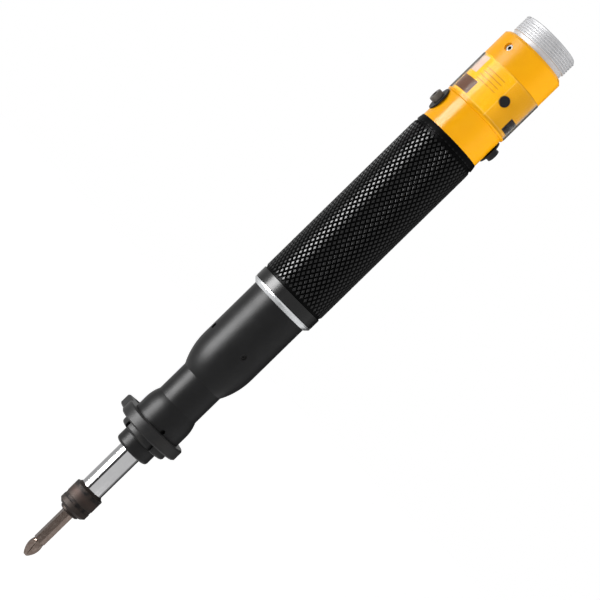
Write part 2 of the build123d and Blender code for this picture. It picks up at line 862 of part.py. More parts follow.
# Two balls that lock the bit by its groove
for number, side in enumerate((1, -1), start=1):
    with BuildPart() as lock_ball:
        with Locations((side * ball_centre, 0, ball_height)):
            Sphere(ball_radius)
    lock_ball.part.label = f"lock_ball_{number}"
    export_step(lock_ball.part, f"parts/lock_ball_{number}.step")

# Spindle spring that pushes the spindle out, wound round the hexagonal bar
with BuildPart() as spindle_spring:
    coil_spring(
        Plane(origin=(0, 0, spindle_rear)),
        chamber_radius - spindle_spring_gap - spindle_spring_wire / 2,
        spindle_spring_wire / 2,
        spindle_spring_turns,
        shoulder_front - spindle_rear,
    )
spindle_spring.part.label = "spindle_spring"
export_step(spindle_spring.part, "parts/spindle_spring.step")

# Torque transducer: a thin-walled sleeve that twists a little under the ring gear's reaction
with BuildPart() as torque_transducer:
    turn_profile(
        [
            (transducer_web_radius - transducer_wall, transducer_low),
            (gear_bore_radius - ring_wall_fit, transducer_low),
            (gear_bore_radius - ring_wall_fit, transducer_low + transducer_flange),
            (transducer_web_radius, transducer_low + transducer_flange),
            (transducer_web_radius, transducer_high - transducer_flange),
            (gear_bore_radius - ring_wall_fit, transducer_high - transducer_flange),
            (gear_bore_radius - ring_wall_fit, transducer_high),
            (transducer_web_radius - transducer_wall, transducer_high),
        ]
    )
torque_transducer.part.label = "torque_transducer"
export_step(torque_transducer.part, "parts/torque_transducer.step")

# Clamp ring: bright bevelled ring between the gearcase and the grip
with BuildPart() as clamp_ring:
    ring_bevel = grip_radius - clamp_ring_front_radius
    turn_profile(
        [
            (grip_bore_radius, gearcase_end),
            (clamp_ring_front_radius, gearcase_end),
            (grip_radius, gearcase_end + ring_bevel),
            (grip_radius, grip_front),
            (grip_bore_radius, grip_front),
        ]
    )
clamp_ring.part.label = "clamp_ring"
export_step(clamp_ring.part, "parts/clamp_ring.step")

# Grip: a black aluminium tube, knurled over most of its length and rounded down to the rear housing
with BuildPart() as grip_tube:
    taper_start = grip_rear - grip_taper_length
    with BuildSketch(Plane.XZ):
        with BuildLine():
            Polyline(
                (grip_end_radius, grip_rear),
                (grip_bore_radius, grip_rear),
                (grip_bore_radius, grip_front),
                (grip_radius - grip_front_edge, grip_front),
                (grip_radius, grip_front + grip_front_edge),
                (grip_radius, taper_start),
            )
            TangentArc((grip_radius, taper_start), (grip_end_radius, grip_rear), tangent=(0, 1))
        make_face()
    revolve(axis=Axis.Z)
grip_tube.part.label = "grip_tube"
export_step(grip_tube.part, "parts/grip_tube.step")

# Motor front plate, whose boss centres the motor in the gearcase and clamps the transducer
motor_radius = grip_bore_radius - slip_fit
with BuildPart() as motor_front_plate:
    tube(gear_bore_radius - ring_wall_fit, 0, boss_front, motor_front)
    tube(motor_radius, 0, motor_front, case_front)
    shaft_hole = rotor_shaft_radius + end_float
    tube(shaft_hole, 0, boss_front, case_front, mode=Mode.SUBTRACT)
    tube(motor_bearing_radius, 0, motor_bearing_front_low, case_front, mode=Mode.SUBTRACT)
motor_front_plate.part.label = "motor_front_plate"
export_step(motor_front_plate.part, "parts/motor_front_plate.step")

# Motor case: a steel tube between the two plates
with BuildPart() as motor_case:
    tube(motor_radius, motor_radius - motor_wall, case_front, case_rear)
motor_case.part.label = "motor_case"
export_step(motor_case.part, "parts/motor_case.step")

# Motor rear plate, with the rear bearing's seat and three posts for the encoder board
with BuildPart() as motor_rear_plate:
    tube(motor_radius, 0, case_rear, motor_rear)
    rear_boss_radius = motor_bearing_radius + bearing_race
    tube(rear_boss_radius, 0, motor_bearing_rear_low, case_rear)
    tube(motor_bearing_radius, 0, motor_bearing_rear_low, case_rear, mode=Mode.SUBTRACT)
    tube(shaft_hole, 0, case_rear, motor_rear, mode=Mode.SUBTRACT)
    rods(post_angles, encoder_post_circle, encoder_post_radius, motor_rear, encoder_board_low)
    lead_hole = motor_lead_radius + slip_fit
    rods(lead_angles, motor_lead_circle, lead_hole, case_rear, motor_rear, mode=Mode.SUBTRACT)
motor_rear_plate.part.label = "motor_rear_plate"
export_step(motor_rear_plate.part, "parts/motor_rear_plate.step")

# Stator core with six slots
with BuildPart() as stator_core:
    with BuildSketch(Plane.XY.offset(stator_low)):
        Circle(motor_radius - motor_wall)
        Circle(stator_inner_radius, mode=Mode.SUBTRACT)
        slot_half_angle = stator_slot_angle / 2
        slot_sections(slot_half_angle, stator_slot_inner_radius, stator_slot_radius, mode=Mode.SUBTRACT)
    extrude(amount=stator_high - stator_low)
stator_core.part.label = "stator_core"
export_step(stator_core.part, "parts/stator_core.step")

# Copper windings: bundles in the slots, joined by the end turns
with BuildPart() as stator_windings:
    bundle_half_angle = slot_half_angle - degrees(slip_fit / stator_slot_inner_radius)
    with BuildSketch(Plane.XY.offset(stator_low)):
        slot_sections(bundle_half_angle, stator_slot_inner_radius + slip_fit, stator_slot_radius - slip_fit)
    extrude(amount=stator_high - stator_low)
    tube(stator_slot_radius, stator_slot_inner_radius, stator_low - winding_overhang, stator_low)
    tube(stator_slot_radius, stator_slot_inner_radius, stator_high, stator_high + winding_overhang)
stator_windings.part.label = "stator_windings"
export_step(stator_windings.part, "parts/stator_windings.step")

# Motor bearings
with BuildPart() as motor_bearings:
    for low in (motor_bearing_front_low, motor_bearing_rear_low):
        tube(motor_bearing_radius, rotor_shaft_radius + running_fit, low, low + motor_bearing_width)
motor_bearings.part.label = "motor_bearings"
export_step(motor_bearings.part, "parts/motor_bearings.step")

# Rotor shaft, with the first sun gear cut on its front and a core under the magnet
with BuildPart() as rotor_shaft:
    pinion_low = carrier_1_rear + planet_gap / 2
    tube(pilot_radius, 0, carrier_1_rear - pilot_length, pinion_low)
    toothed(sun_teeth, (0, 0), pinion_low, ring_gear_high, turned=sun_half_pitch)
    tube(rotor_shaft_radius, 0, ring_gear_high, rotor_rear)
    tube(rotor_core_radius, 0, stator_low - winding_overhang, stator_high + end_float)
rotor_shaft.part.label = "rotor_shaft"
export_step(rotor_shaft.part, "parts/rotor_shaft.step")

# Rotor magnet ring
with BuildPart() as rotor_magnet:
    tube(magnet_outer_radius, rotor_core_radius, stator_low, stator_high)
rotor_magnet.part.label = "rotor_magnet"
export_step(rotor_magnet.part, "parts/rotor_magnet.step")

# Encoder magnet on the shaft's end
with BuildPart() as encoder_magnet:
    magnet_low = rotor_rear - encoder_magnet_length / 2
    tube(encoder_magnet_radius, 0, magnet_low, magnet_low + encoder_magnet_length)
    tube(rotor_shaft_radius, 0, magnet_low, rotor_rear, mode=Mode.SUBTRACT)
encoder_magnet.part.label = "encoder_magnet"
export_step(encoder_magnet.part, "parts/encoder_magnet.step")

# Encoder board on the posts
with BuildPart() as encoder_board:
    encoder_board_high = encoder_board_low + encoder_board_thickness
    tube(encoder_board_radius, 0, encoder_board_low, encoder_board_high)
    rods(lead_angles, motor_lead_circle, lead_hole, encoder_board_low, encoder_board_high, mode=Mode.SUBTRACT)
encoder_board.part.label = "encoder_board"
export_step(encoder_board.part, "parts/encoder_board.step")

# Control board, edge on to the axis and facing the button
board_length = board_rear - board_front
support_front_low = board_front + terminal_length + support_terminal_gap
support_front_high = support_front_low + support_thickness
support_rear_low = button_height - support_button_gap - support_thickness
support_room = support_rear_low - support_front_high
support_room_middle = (support_rear_low + support_front_high) / 2
board_plane = radial_plane(button_angle, board_face_radius, (board_front + board_rear) / 2)
with BuildPart() as control_board:
    with BuildSketch(board_plane):
        Rectangle(board_width, board_length)
    extrude(amount=-board_thickness)
control_board.part.label = "control_board"
export_step(control_board.part, "parts/control_board.step")

# Terminal blocks, chips, capacitors and the push switch on the board
with BuildPart() as board_components:
    terminal_low = board_front + terminal_length / 2
    terminal_high = board_rear - terminal_length / 2
    with BuildSketch(radial_plane(button_angle, board_face_radius, 0)):
        with Locations((0, terminal_low), (0, terminal_high)):
            Rectangle(terminal_width, terminal_length)
    extrude(amount=terminal_height)
    chip_pitch = chip_width + chip_gap
    with BuildSketch(radial_plane(button_angle, board_face_radius, support_room_middle)):
        with GridLocations(0, chip_pitch, 1, int(support_room / chip_pitch)):
            Rectangle(chip_width, chip_width)
    extrude(amount=chip_height)
    board_back = board_thickness - board_face_radius
    capacitor_pitch = 2 * capacitor_radius + capacitor_gap
    with BuildSketch(radial_plane(button_angle + 180, board_back, support_room_middle)):
        with GridLocations(0, capacitor_pitch, 1, int(support_room / capacitor_pitch)):
            Circle(capacitor_radius)
    extrude(amount=capacitor_height)
    with BuildSketch(radial_plane(button_angle, board_face_radius, button_height)):
        Rectangle(switch_width, switch_width)
    extrude(amount=switch_height)
    with BuildSketch(radial_plane(button_angle, board_face_radius + switch_height, button_height)):
        Circle(switch_knob_radius)
    extrude(amount=switch_knob_height)
board_components.part.label = "board_components"
export_step(board_components.part, "parts/board_components.step")

# Two plastic discs that hold the board, in the grip and in the rear housing
with BuildPart() as board_supports:
    for low, radius in ((support_front_low, grip_bore_radius), (support_rear_low, rear_bore_radius)):
        tube(radius - slip_fit, 0, low, low + support_thickness)
        support_middle = low + support_thickness / 2
        with BuildSketch(radial_plane(button_angle, board_face_radius + slip_fit, support_middle)):
            Rectangle(board_width + 2 * slip_fit, support_thickness + overrun)
        extrude(amount=-board_thickness - 2 * slip_fit, mode=Mode.SUBTRACT)
        hole_circle = radius - support_hole_radius - support_rim
        high = low + support_thickness
        rods([button_angle + 180], hole_circle, support_hole_radius, low, high, mode=Mode.SUBTRACT)
board_supports.part.label = "board_supports"
export_step(board_supports.part, "parts/board_supports.step")

# Three motor leads from the end turns to the front terminal block
with BuildPart() as motor_leads:
    rods(lead_angles, motor_lead_circle, motor_lead_radius, stator_high + winding_overhang, board_front)
motor_leads.part.label = "motor_leads"
export_step(motor_leads.part, "parts/motor_leads.step")

# Three leads from the rear terminal block to the connector
with BuildPart() as connector_leads:
    rods(lead_angles, connector_lead_circle, connector_lead_radius, board_rear, insert_front)
connector_leads.part.label = "connector_leads"
export_step(connector_leads.part, "parts/connector_leads.step")

# Rear housing: yellow band with a bead, the tube under the label, and spigots at both ends
seal_places = (
    (grip_rear - rear_spigot_depth / 2, rear_spigot_radius),
    (cap_spigot_end - cap_spigot_length / 2, cap_spigot_radius),
)
with BuildPart() as rear_housing:
    turn_profile(
        [
            (rear_spigot_bore, grip_rear - rear_spigot_depth),
            (rear_spigot_radius, grip_rear - rear_spigot_depth),
            (rear_spigot_radius, grip_rear),
            (band_radius, grip_rear),
            (band_radius, bead_front),
            (bead_radius, bead_front + bead_length / 3),
            (bead_radius, band_end),
            (label_tube_radius, band_end),
            (label_tube_radius, label_end),
            (cap_spigot_radius, label_end),
            (cap_spigot_radius, cap_spigot_end),
            (rear_bore_radius, cap_spigot_end),
            (rear_bore_radius, grip_rear),
            (rear_spigot_bore, grip_rear),
        ]
    )
    for low, radius in seal_places:
        tube(radius, radius - seal_section, low, low + seal_section, mode=Mode.SUBTRACT)
    radial_hole(button_angle, button_radius + slip_fit, 0, band_radius, button_height)
    washer_recess = washer_radius + slip_fit
    recess_top = band_radius + overrun
    for angle in bail_angles:
        radial_hole(angle, bail_screw_radius, 0, recess_top, bail_screw_height)
        radial_hole(angle, washer_recess, washer_seat_radius, recess_top, bail_screw_height)
rear_housing.part.label = "rear_housing"
export_step(rear_housing.part, "parts/rear_housing.step")

# Square-section rubber seals in the grooves of both spigots
with BuildPart() as housing_seals:
    for low, radius in seal_places:
        tube(radius, radius - seal_section, low, low + seal_section)
housing_seals.part.label = "housing_seals"
export_step(housing_seals.part, "parts/housing_seals.step")

# Washers under the bail screws
with BuildPart() as bail_washers:
    for angle in bail_angles:
        with BuildSketch(radial_plane(angle, washer_seat_radius, bail_screw_height)):
            Circle(washer_radius)
            Circle(bail_screw_radius + slip_fit, mode=Mode.SUBTRACT)
        extrude(amount=washer_thickness)
bail_washers.part.label = "bail_washers"
export_step(bail_washers.part, "parts/bail_washers.step")

# Socket head screws that hold a hanging bail
with BuildPart() as bail_screws:
    head_seat = washer_seat_radius + washer_thickness
    head_top = head_seat + bail_head_height
    for angle in bail_angles:
        with BuildSketch(radial_plane(angle, rear_bore_radius, bail_screw_height)):
            Circle(bail_screw_radius)
        extrude(amount=head_seat - rear_bore_radius)
        with BuildSketch(radial_plane(angle, head_seat, bail_screw_height)):
            Circle(bail_head_radius)
        extrude(amount=bail_head_height)
        with BuildSketch(radial_plane(angle, head_top, bail_screw_height)):
            RegularPolygon(bail_head_socket / 2, 6, major_radius=False)
        extrude(amount=-bail_head_socket_depth, mode=Mode.SUBTRACT)
bail_screws.part.label = "bail_screws"
export_step(bail_screws.part, "parts/bail_screws.step")

# Printed label film wrapped round the tube
with BuildPart() as label_wrap:
    tube(label_tube_radius + label_thickness, label_tube_radius, band_end, label_end)
    radial_hole(button_angle, button_radius + slip_fit, 0, clear_sleeve_radius, button_height)
label_wrap.part.label = "label_wrap"
export_step(label_wrap.part, "parts/label_wrap.step")

# Clear sleeve that protects the label
with BuildPart() as clear_sleeve:
    tube(clear_sleeve_radius, clear_sleeve_bore, band_end, label_end)
    radial_hole(button_angle, button_radius + slip_fit, 0, clear_sleeve_radius + overrun, button_height)
clear_sleeve.part.label = "clear_sleeve"
export_step(clear_sleeve.part, "parts/clear_sleeve.step")

# Function button: a round cap, a collar behind the wall and a stem that reaches the switch
with BuildPart() as function_button:
    button_top = clear_sleeve_radius - button_proud
    collar_top = rear_bore_radius - button_collar_gap
    collar_low = collar_top - button_collar_thickness
    stem_low = board_face_radius + switch_height + switch_knob_height + button_travel + slip_fit
    with BuildSketch(radial_plane(button_angle, collar_top, button_height)):
        Circle(button_radius)
    extrude(amount=button_top - collar_top)
    with BuildSketch(radial_plane(button_angle, collar_low, button_height)):
        Circle(button_collar_radius)
    extrude(amount=button_collar_thickness)
    with BuildSketch(radial_plane(button_angle, stem_low, button_height)):
        Circle(button_stem_radius)
    extrude(amount=collar_low - stem_low)
function_button.part.label = "function_button"
export_step(function_button.part, "parts/function_button.step")

# Button spring round the stem, on the switch's body
with BuildPart() as button_spring:
    switch_top = board_face_radius + switch_height
    coil_spring(
        radial_plane(button_angle, switch_top, button_height),
        (switch_knob_radius + switch_width / 2) / 2,
        button_spring_wire / 2,
        button_spring_turns,
        collar_low - switch_top,
    )
button_spring.part.label = "button_spring"
export_step(button_spring.part, "parts/button_spring.step")

# Rear cap, screwed over the housing's spigot
with BuildPart() as rear_cap:
    turn_profile(
        [
            (cap_spigot_radius + slip_fit, cap_front),
            (cap_radius, cap_front),
            (cap_radius, cap_rear - cap_chamfer),
            (cap_radius - cap_chamfer, cap_rear),
            (connector_stem_radius + slip_fit, cap_rear),
            (connector_stem_radius + slip_fit, cap_spigot_end + end_float),
            (cap_spigot_radius + slip_fit, cap_spigot_end + end_float),
        ]
    )
    cap_screw_height = cap_front + cap_screw_from_front
    mouth_floor = cap_radius - cap_screw_mouth_depth
    radial_hole(cap_screw_angle, cap_screw_radius + slip_fit, 0, cap_radius, cap_screw_height)
    radial_hole(cap_screw_angle, cap_screw_mouth, mouth_floor, cap_radius + overrun, cap_screw_height)
rear_cap.part.label = "rear_cap"
export_step(rear_cap.part, "parts/rear_cap.step")

# Set screw that locks the connector in the cap
with BuildPart() as cap_set_screw:
    with BuildSketch(radial_plane(cap_screw_angle, connector_stem_radius + slip_fit, cap_screw_height)):
        Circle(cap_screw_radius)
    extrude(amount=cap_screw_length)
    set_screw_top = connector_stem_radius + slip_fit + cap_screw_length
    with BuildSketch(radial_plane(cap_screw_angle, set_screw_top, cap_screw_height)):
        RegularPolygon(cap_screw_radius / 2, 6, major_radius=False)
    extrude(amount=-cap_screw_length / 2, mode=Mode.SUBTRACT)
cap_set_screw.part.label = "cap_set_screw"
export_step(cap_set_screw.part, "parts/cap_set_screw.step")

# Connector shell: a threaded aluminium socket whose stem sits in the cap
with BuildPart() as connector_shell:
    turn_profile(
        [
            (insert_radius, connector_stem_front),
            (connector_stem_radius, connector_stem_front),
            (connector_stem_radius, cap_rear),
            (connector_neck_radius, cap_rear),
            (connector_neck_radius, connector_front),
            (connector_radius, connector_front),
            (connector_radius, connector_rear - connector_chamfer),
            (connector_radius - connector_chamfer, connector_rear),
            (connector_socket_radius, connector_rear),
            (connector_socket_radius, socket_floor),
            (insert_radius, socket_floor),
        ]
    )
connector_shell.part.label = "connector_shell"
export_step(connector_shell.part, "parts/connector_shell.step")

# Insulating insert with its contact holes
contact_circles = ((contact_circle, contact_count), (contact_inner_circle, contact_inner_count))
with BuildPart() as connector_insert:
    tube(insert_radius, 0, insert_front, socket_floor)
    with BuildSketch(Plane.XY.offset(insert_front)):
        for circle, count in contact_circles:
            with PolarLocations(circle, count):
                Circle(contact_radius)
    extrude(amount=insert_length, mode=Mode.SUBTRACT)
connector_insert.part.label = "connector_insert"
export_step(connector_insert.part, "parts/connector_insert.step")

# Socket contacts
with BuildPart() as connector_contacts:
    for circle, count in contact_circles:
        with BuildSketch(Plane.XY.offset(insert_front - contact_tail)):
            with PolarLocations(circle, count):
                Circle(contact_radius)
        extrude(amount=insert_length + contact_tail)
        with BuildSketch(Plane.XY.offset(socket_floor)):
            with PolarLocations(circle, count):
                Circle(contact_bore)
        extrude(amount=-contact_bore_depth, mode=Mode.SUBTRACT)
connector_contacts.part.label = "connector_contacts"
export_step(connector_contacts.part, "parts/connector_contacts.step")
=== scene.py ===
"""Looks of the electric torque screwdriver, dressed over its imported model.

The tool's axis is Z, with the bit pointing down, and every size is in metres. The sections follow the tool as
it is put together, from the gearcase outwards to both ends, with the camera and the studio first.
"""

from math import atan2, cos, pi, radians, sin, tan

import bpy
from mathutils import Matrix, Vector


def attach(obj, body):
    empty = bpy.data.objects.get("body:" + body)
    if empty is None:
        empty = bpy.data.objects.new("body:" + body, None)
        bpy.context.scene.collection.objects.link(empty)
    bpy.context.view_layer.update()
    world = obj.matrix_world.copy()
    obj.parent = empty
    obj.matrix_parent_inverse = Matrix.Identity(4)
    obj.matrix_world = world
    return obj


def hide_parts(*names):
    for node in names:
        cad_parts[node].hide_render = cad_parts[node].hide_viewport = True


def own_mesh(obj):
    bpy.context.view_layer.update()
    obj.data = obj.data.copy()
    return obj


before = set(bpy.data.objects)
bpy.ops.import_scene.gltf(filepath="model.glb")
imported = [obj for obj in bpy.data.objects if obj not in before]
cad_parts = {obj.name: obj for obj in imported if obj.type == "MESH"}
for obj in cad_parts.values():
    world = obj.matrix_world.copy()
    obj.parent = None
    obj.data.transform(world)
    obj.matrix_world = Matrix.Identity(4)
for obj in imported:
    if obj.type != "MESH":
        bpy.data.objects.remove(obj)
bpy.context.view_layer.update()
bpy.ops.object.select_all(action="DESELECT")

# Camera
# A long lens at chest height, beside the tool. It is rolled, so that the tool lies across the frame with the
# bit at the lower left.
camera_azimuth = radians(-20)
camera_distance = 1.124
camera_height = 0.1302
aim_height = 0.1067
aim_aside = 0.0053
tool_slope = radians(44.34)
view_angle = radians(15.9)
sensor_width = 36
nearest_seen = 0.01
farthest_seen = 50
towards_camera = Vector((sin(camera_azimuth), -cos(camera_azimuth), 0))
aside = Vector((cos(camera_azimuth), sin(camera_azimuth), 0))
along = Vector((0, 0, 1))
camera_place = towards_camera * camera_distance + along * camera_height
look = (aside * aim_aside + along * aim_height - camera_place).normalized()
camera_top = along * sin(tool_slope) - aside * cos(tool_slope)
camera_top = (camera_top - look * camera_top.dot(look)).normalized()
bpy.ops.object.camera_add(location=camera_place)
camera = bpy.context.object
camera.name = "camera"
camera_level = look.to_track_quat("-Z", "Y")
camera_turn = camera_level.to_matrix()
roll = atan2(camera_top.dot(camera_turn.col[0]), camera_top.dot(camera_turn.col[1]))
camera.rotation_euler = camera_level.to_euler()
bpy.ops.transform.rotate(value=roll, orient_type="LOCAL", orient_axis="Z", center_override=camera_place)
camera.data.sensor_width = sensor_width
camera.data.lens = sensor_width / 2 / tan(view_angle / 2)
camera.data.clip_start = nearest_seen
camera.data.clip_end = farthest_seen
bpy.context.scene.camera = camera
bpy.context.scene.view_settings.view_transform = "Standard"

# Studio floor and surroundings
# A wide pale floor below the bit, and a pale room. Both are plain white behind the tool and in what metal and
# clear plastic show, and softer where they light it. The floor keeps the tool's shadow.
floor_height = -0.30
floor_width = 12.0
floor_colour = (0.86, 0.86, 0.86, 1)
floor_glow = 0.47
room_light = 0.60
before_first_bounce = 0.5


def add_sum(tree, operation, first, second=None):
    """Add one sum to a node tree, and return its result."""
    node = tree.nodes.new("ShaderNodeMath")
    node.operation = operation
    for number, value in enumerate((first, second)):
        if isinstance(value, (int, float)):
            node.inputs[number].default_value = value
        elif value is not None:
            tree.links.new(value, node.inputs[number])
    return node.outputs["Value"]


def seen_directly(tree):
    """Find the rays that come from the camera with only metal or clear plastic on their way."""
    path = tree.nodes.new("ShaderNodeLightPath")
    shiny = add_sum(tree, "MAXIMUM", path.outputs["Is Glossy Ray"], path.outputs["Is Transmission Ray"])
    seen = add_sum(tree, "MAXIMUM", path.outputs["Is Camera Ray"], shiny)
    undimmed = add_sum(tree, "LESS_THAN", path.outputs["Diffuse Depth"], before_first_bounce)
    return add_sum(tree, "MULTIPLY", seen, undimmed)


bpy.ops.mesh.primitive_grid_add(
    x_subdivisions=2, y_subdivisions=2, size=floor_width, location=(0, 0, floor_height)
)
floor = bpy.context.object
floor.name = "floor"
floor_finish = bpy.data.materials.new("pale_floor")
floor_finish.use_nodes = True
tree = floor_finish.node_tree
floor_shader = tree.nodes["Principled BSDF"]
floor_shader.inputs["Base Color"].default_value = floor_colour
floor_shader.inputs["Roughness"].default_value = 0.9
floor_shader.inputs["Specular IOR Level"].default_value = 0.1
floor_shader.inputs["Emission Color"].default_value = (1, 1, 1, 1)
floor_strength = add_sum(tree, "MULTIPLY", seen_directly(tree), floor_glow)
tree.links.new(floor_strength, floor_shader.inputs["Emission Strength"])
floor.data.materials.append(floor_finish)

world = bpy.data.worlds.new("pale_room")
bpy.context.scene.world = world
world.use_nodes = True
tree = world.node_tree
room_strength = tree.nodes.new("ShaderNodeMapRange")
room_strength.inputs["To Min"].default_value = room_light
room_strength.inputs["To Max"].default_value = 1.0
tree.links.new(seen_directly(tree), room_strength.inputs["Value"])
tree.links.new(room_strength.outputs["Result"], tree.nodes["Background"].inputs["Strength"])
tree.nodes["Background"].inputs["Color"].default_value = (1, 1, 1, 1)

# Softbox, lamps and cards
# One upright softbox stands to the tool's upper-left side and draws the long highlight on every round
# surface. Two wide lamps fill both sides, and cards from light grey to nearly black stand where only the
# reflections in the metal and the black pieces show them.
softbox_turn = radians(64)
softbox_distance = 0.8
softbox_width = 0.45
softbox_length = 0.64
softbox_height = 0.035
softbox_power = 26
wide_lamps = [("left_lamp", radians(75), 14), ("right_lamp", radians(-70), 15.5)]
wide_lamp_distance = 1.6
wide_lamp_size = 1.2
tool_middle = 0.10
card_distance = 0.7
card_length = 1.0
card_height = 0.22


def turned_away(turn):
    """Point sideways from the tool, turned from the camera's side towards the upper left."""
    return towards_camera * cos(turn) - aside * sin(turn)


def add_lamp(name, turn, distance, height, width, length, power):
    """Stand a rectangular lamp beside the tool, facing it."""
    direction = turned_away(turn)
    bpy.ops.object.light_add(type="AREA", location=direction * distance + along * height)
    lamp = bpy.context.object
    lamp.name = name
    lamp.rotation_euler = direction.to_track_quat("Z", "Y").to_euler()
    lamp.data.shape = "RECTANGLE"
    lamp.data.size = width
    lamp.data.size_y = length
    lamp.data.energy = power
    lamp.visible_transmission = False
    return lamp


softbox = add_lamp(
    "softbox", softbox_turn, softbox_distance, softbox_height, softbox_width, softbox_length, softbox_power
)
softbox.visible_diffuse = False
for lamp_name, lamp_turn, lamp_power in wide_lamps:
    wide_lamp = add_lamp(
        lamp_name, lamp_turn, wide_lamp_distance, tool_middle, wide_lamp_size, wide_lamp_size, lamp_power
    )
    wide_lamp.visible_glossy = False


def add_card(name, low_turn, high_turn, brightness):
    """Stand a card beside the tool that only its reflections show."""
    turn = radians((low_turn + high_turn) / 2)
    width = 2 * card_distance * tan(radians(high_turn - low_turn) / 2)
    direction = turned_away(turn)
    bpy.ops.object.select_all(action="DESELECT")
    bpy.ops.mesh.primitive_grid_add(
        x_subdivisions=2,
        y_subdivisions=2,
        size=1,
        location=direction * card_distance + along * card_height,
        rotation=direction.to_track_quat("Z", "Y").to_euler(),
    )
    card = bpy.context.object
    card.scale = (width, card_length, 1)
    card.name = name
    skin = bpy.data.materials.new(name)
    skin.use_nodes = True
    shader = skin.node_tree.nodes["Principled BSDF"]
    shader.inputs["Base Color"].default_value = (0, 0, 0, 1)
    shader.inputs["Specular IOR Level"].default_value = 0
    shader.inputs["Emission Color"].default_value = (1, 1, 1, 1)
    shader.inputs["Emission Strength"].default_value = brightness
    card.data.materials.append(skin)
    card.visible_camera = False
    card.visible_diffuse = False
    card.visible_transmission = False
    card.visible_shadow = False


add_card("narrow_card", 20, 40, 0.08)
add_card("left_card_1", 98, 137, 0.68)
add_card("left_card_2", 137, 176, 0.68)
add_card("right_card_1", -126, -106, 0.42)
add_card("right_card_2", -151, -126, 0.04)
add_card("right_card_3", -176, -151, 0.04)

# Gearcase housing
# One machined aluminium casting, anodised a satin black over a fine blasted grain. Its bell, neck and flare
# are turned, and the holes for its small screws are drilled from outside.


def new_group(name, inputs, outputs):
    """Start a shader node group with these sockets, and return it with its input and output nodes."""
    group = bpy.data.node_groups.new(name, "ShaderNodeTree")
    for socket_name, socket_type, value in inputs:
        socket = group.interface.new_socket(name=socket_name, in_out="INPUT", socket_type=socket_type)
        if value is not None:
            socket.default_value = value
    for socket_name, socket_type in outputs:
        group.interface.new_socket(name=socket_name, in_out="OUTPUT", socket_type=socket_type)
    return group, group.nodes.new("NodeGroupInput"), group.nodes.new("NodeGroupOutput")


surface_grain, grain_in, grain_out = new_group(
    "surface_grain",
    [
        ("Place", "NodeSocketVector", None),
        ("Colour", "NodeSocketColor", (0.5, 0.5, 0.5, 1)),
        ("Worn Colour", "NodeSocketColor", (0.6, 0.6, 0.6, 1)),
        ("Roughness", "NodeSocketFloat", 0.4),
        ("Roughness Spread", "NodeSocketFloat", 0.1),
        ("Grain Scale", "NodeSocketFloat", 4000.0),
        ("Grain Height", "NodeSocketFloat", 0.1),
        ("Mottle Scale", "NodeSocketFloat", 160.0),
    ],
    [("Colour", "NodeSocketColor"), ("Roughness", "NodeSocketFloat"), ("Normal", "NodeSocketVector")],
)
fine_noise = surface_grain.nodes.new("ShaderNodeTexNoise")
fine_noise.inputs["Detail"].default_value = 3
mottle_noise = surface_grain.nodes.new("ShaderNodeTexNoise")
mottle_noise.inputs["Detail"].default_value = 5
mottle_colour = surface_grain.nodes.new("ShaderNodeMix")
mottle_colour.data_type = "RGBA"
mottle_step = surface_grain.nodes.new("ShaderNodeMapRange")
mottle_step.inputs["From Min"].default_value = 0.4
mottle_step.inputs["From Max"].default_value = 0.75
roughness_shift = surface_grain.nodes.new("ShaderNodeMath")
roughness_shift.operation = "MULTIPLY_ADD"
grain_bump = surface_grain.nodes.new("ShaderNodeBump")
grain_bump.inputs["Distance"].default_value = 0.00004
wire = surface_grain.links.new
wire(grain_in.outputs["Place"], fine_noise.inputs["Vector"])
wire(grain_in.outputs["Grain Scale"], fine_noise.inputs["Scale"])
wire(grain_in.outputs["Place"], mottle_noise.inputs["Vector"])
wire(grain_in.outputs["Mottle Scale"], mottle_noise.inputs["Scale"])
wire(mottle_noise.outputs["Fac"], mottle_step.inputs["Value"])
wire(mottle_step.outputs["Result"], mottle_colour.inputs["Factor"])
wire(grain_in.outputs["Colour"], mottle_colour.inputs["A"])
wire(grain_in.outputs["Worn Colour"], mottle_colour.inputs["B"])
wire(mottle_step.outputs["Result"], roughness_shift.inputs[0])
wire(grain_in.outputs["Roughness Spread"], roughness_shift.inputs[1])
wire(grain_in.outputs["Roughness"], roughness_shift.inputs[2])
wire(fine_noise.outputs["Fac"], grain_bump.inputs["Height"])
wire(grain_in.outputs["Grain Height"], grain_bump.inputs["Strength"])
wire(mottle_colour.outputs["Result"], grain_out.inputs["Colour"])
wire(roughness_shift.outputs["Value"], grain_out.inputs["Roughness"])
wire(grain_bump.outputs["Normal"], grain_out.inputs["Normal"])


def grained_finish(
    name, colour, worn, roughness, metallic=0.0, specular=0.5, spread=0.1, height=0.1, mottle=160
):
    """Make a finish of one colour that varies a little, with a fine grain in its surface."""
    finish = bpy.data.materials.new(name)
    finish.use_nodes = True
    tree = finish.node_tree
    shader = tree.nodes["Principled BSDF"]
    place = tree.nodes.new("ShaderNodeTexCoord")
    group = tree.nodes.new("ShaderNodeGroup")
    group.node_tree = surface_grain
    group.inputs["Colour"].default_value = (*colour, 1)
    group.inputs["Worn Colour"].default_value = (*worn, 1)
    group.inputs["Roughness"].default_value = roughness
    group.inputs["Roughness Spread"].default_value = spread
    group.inputs["Grain Height"].default_value = height
    group.inputs["Mottle Scale"].default_value = mottle
    tree.links.new(place.outputs["Object"], group.inputs["Place"])
    tree.links.new(group.outputs["Colour"], shader.inputs["Base Color"])
    tree.links.new(group.outputs["Roughness"], shader.inputs["Roughness"])
    tree.links.new(group.outputs["Normal"], shader.inputs["Normal"])
    shader.inputs["Metallic"].default_value = metallic
    shader.inputs["Specular IOR Level"].default_value = specular
    return finish


def dress(finish, *names):
    """Give CAD nodes their finish."""
    for name in names:
        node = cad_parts[name]
        node.data.materials.clear()
        node.data.materials.append(finish)


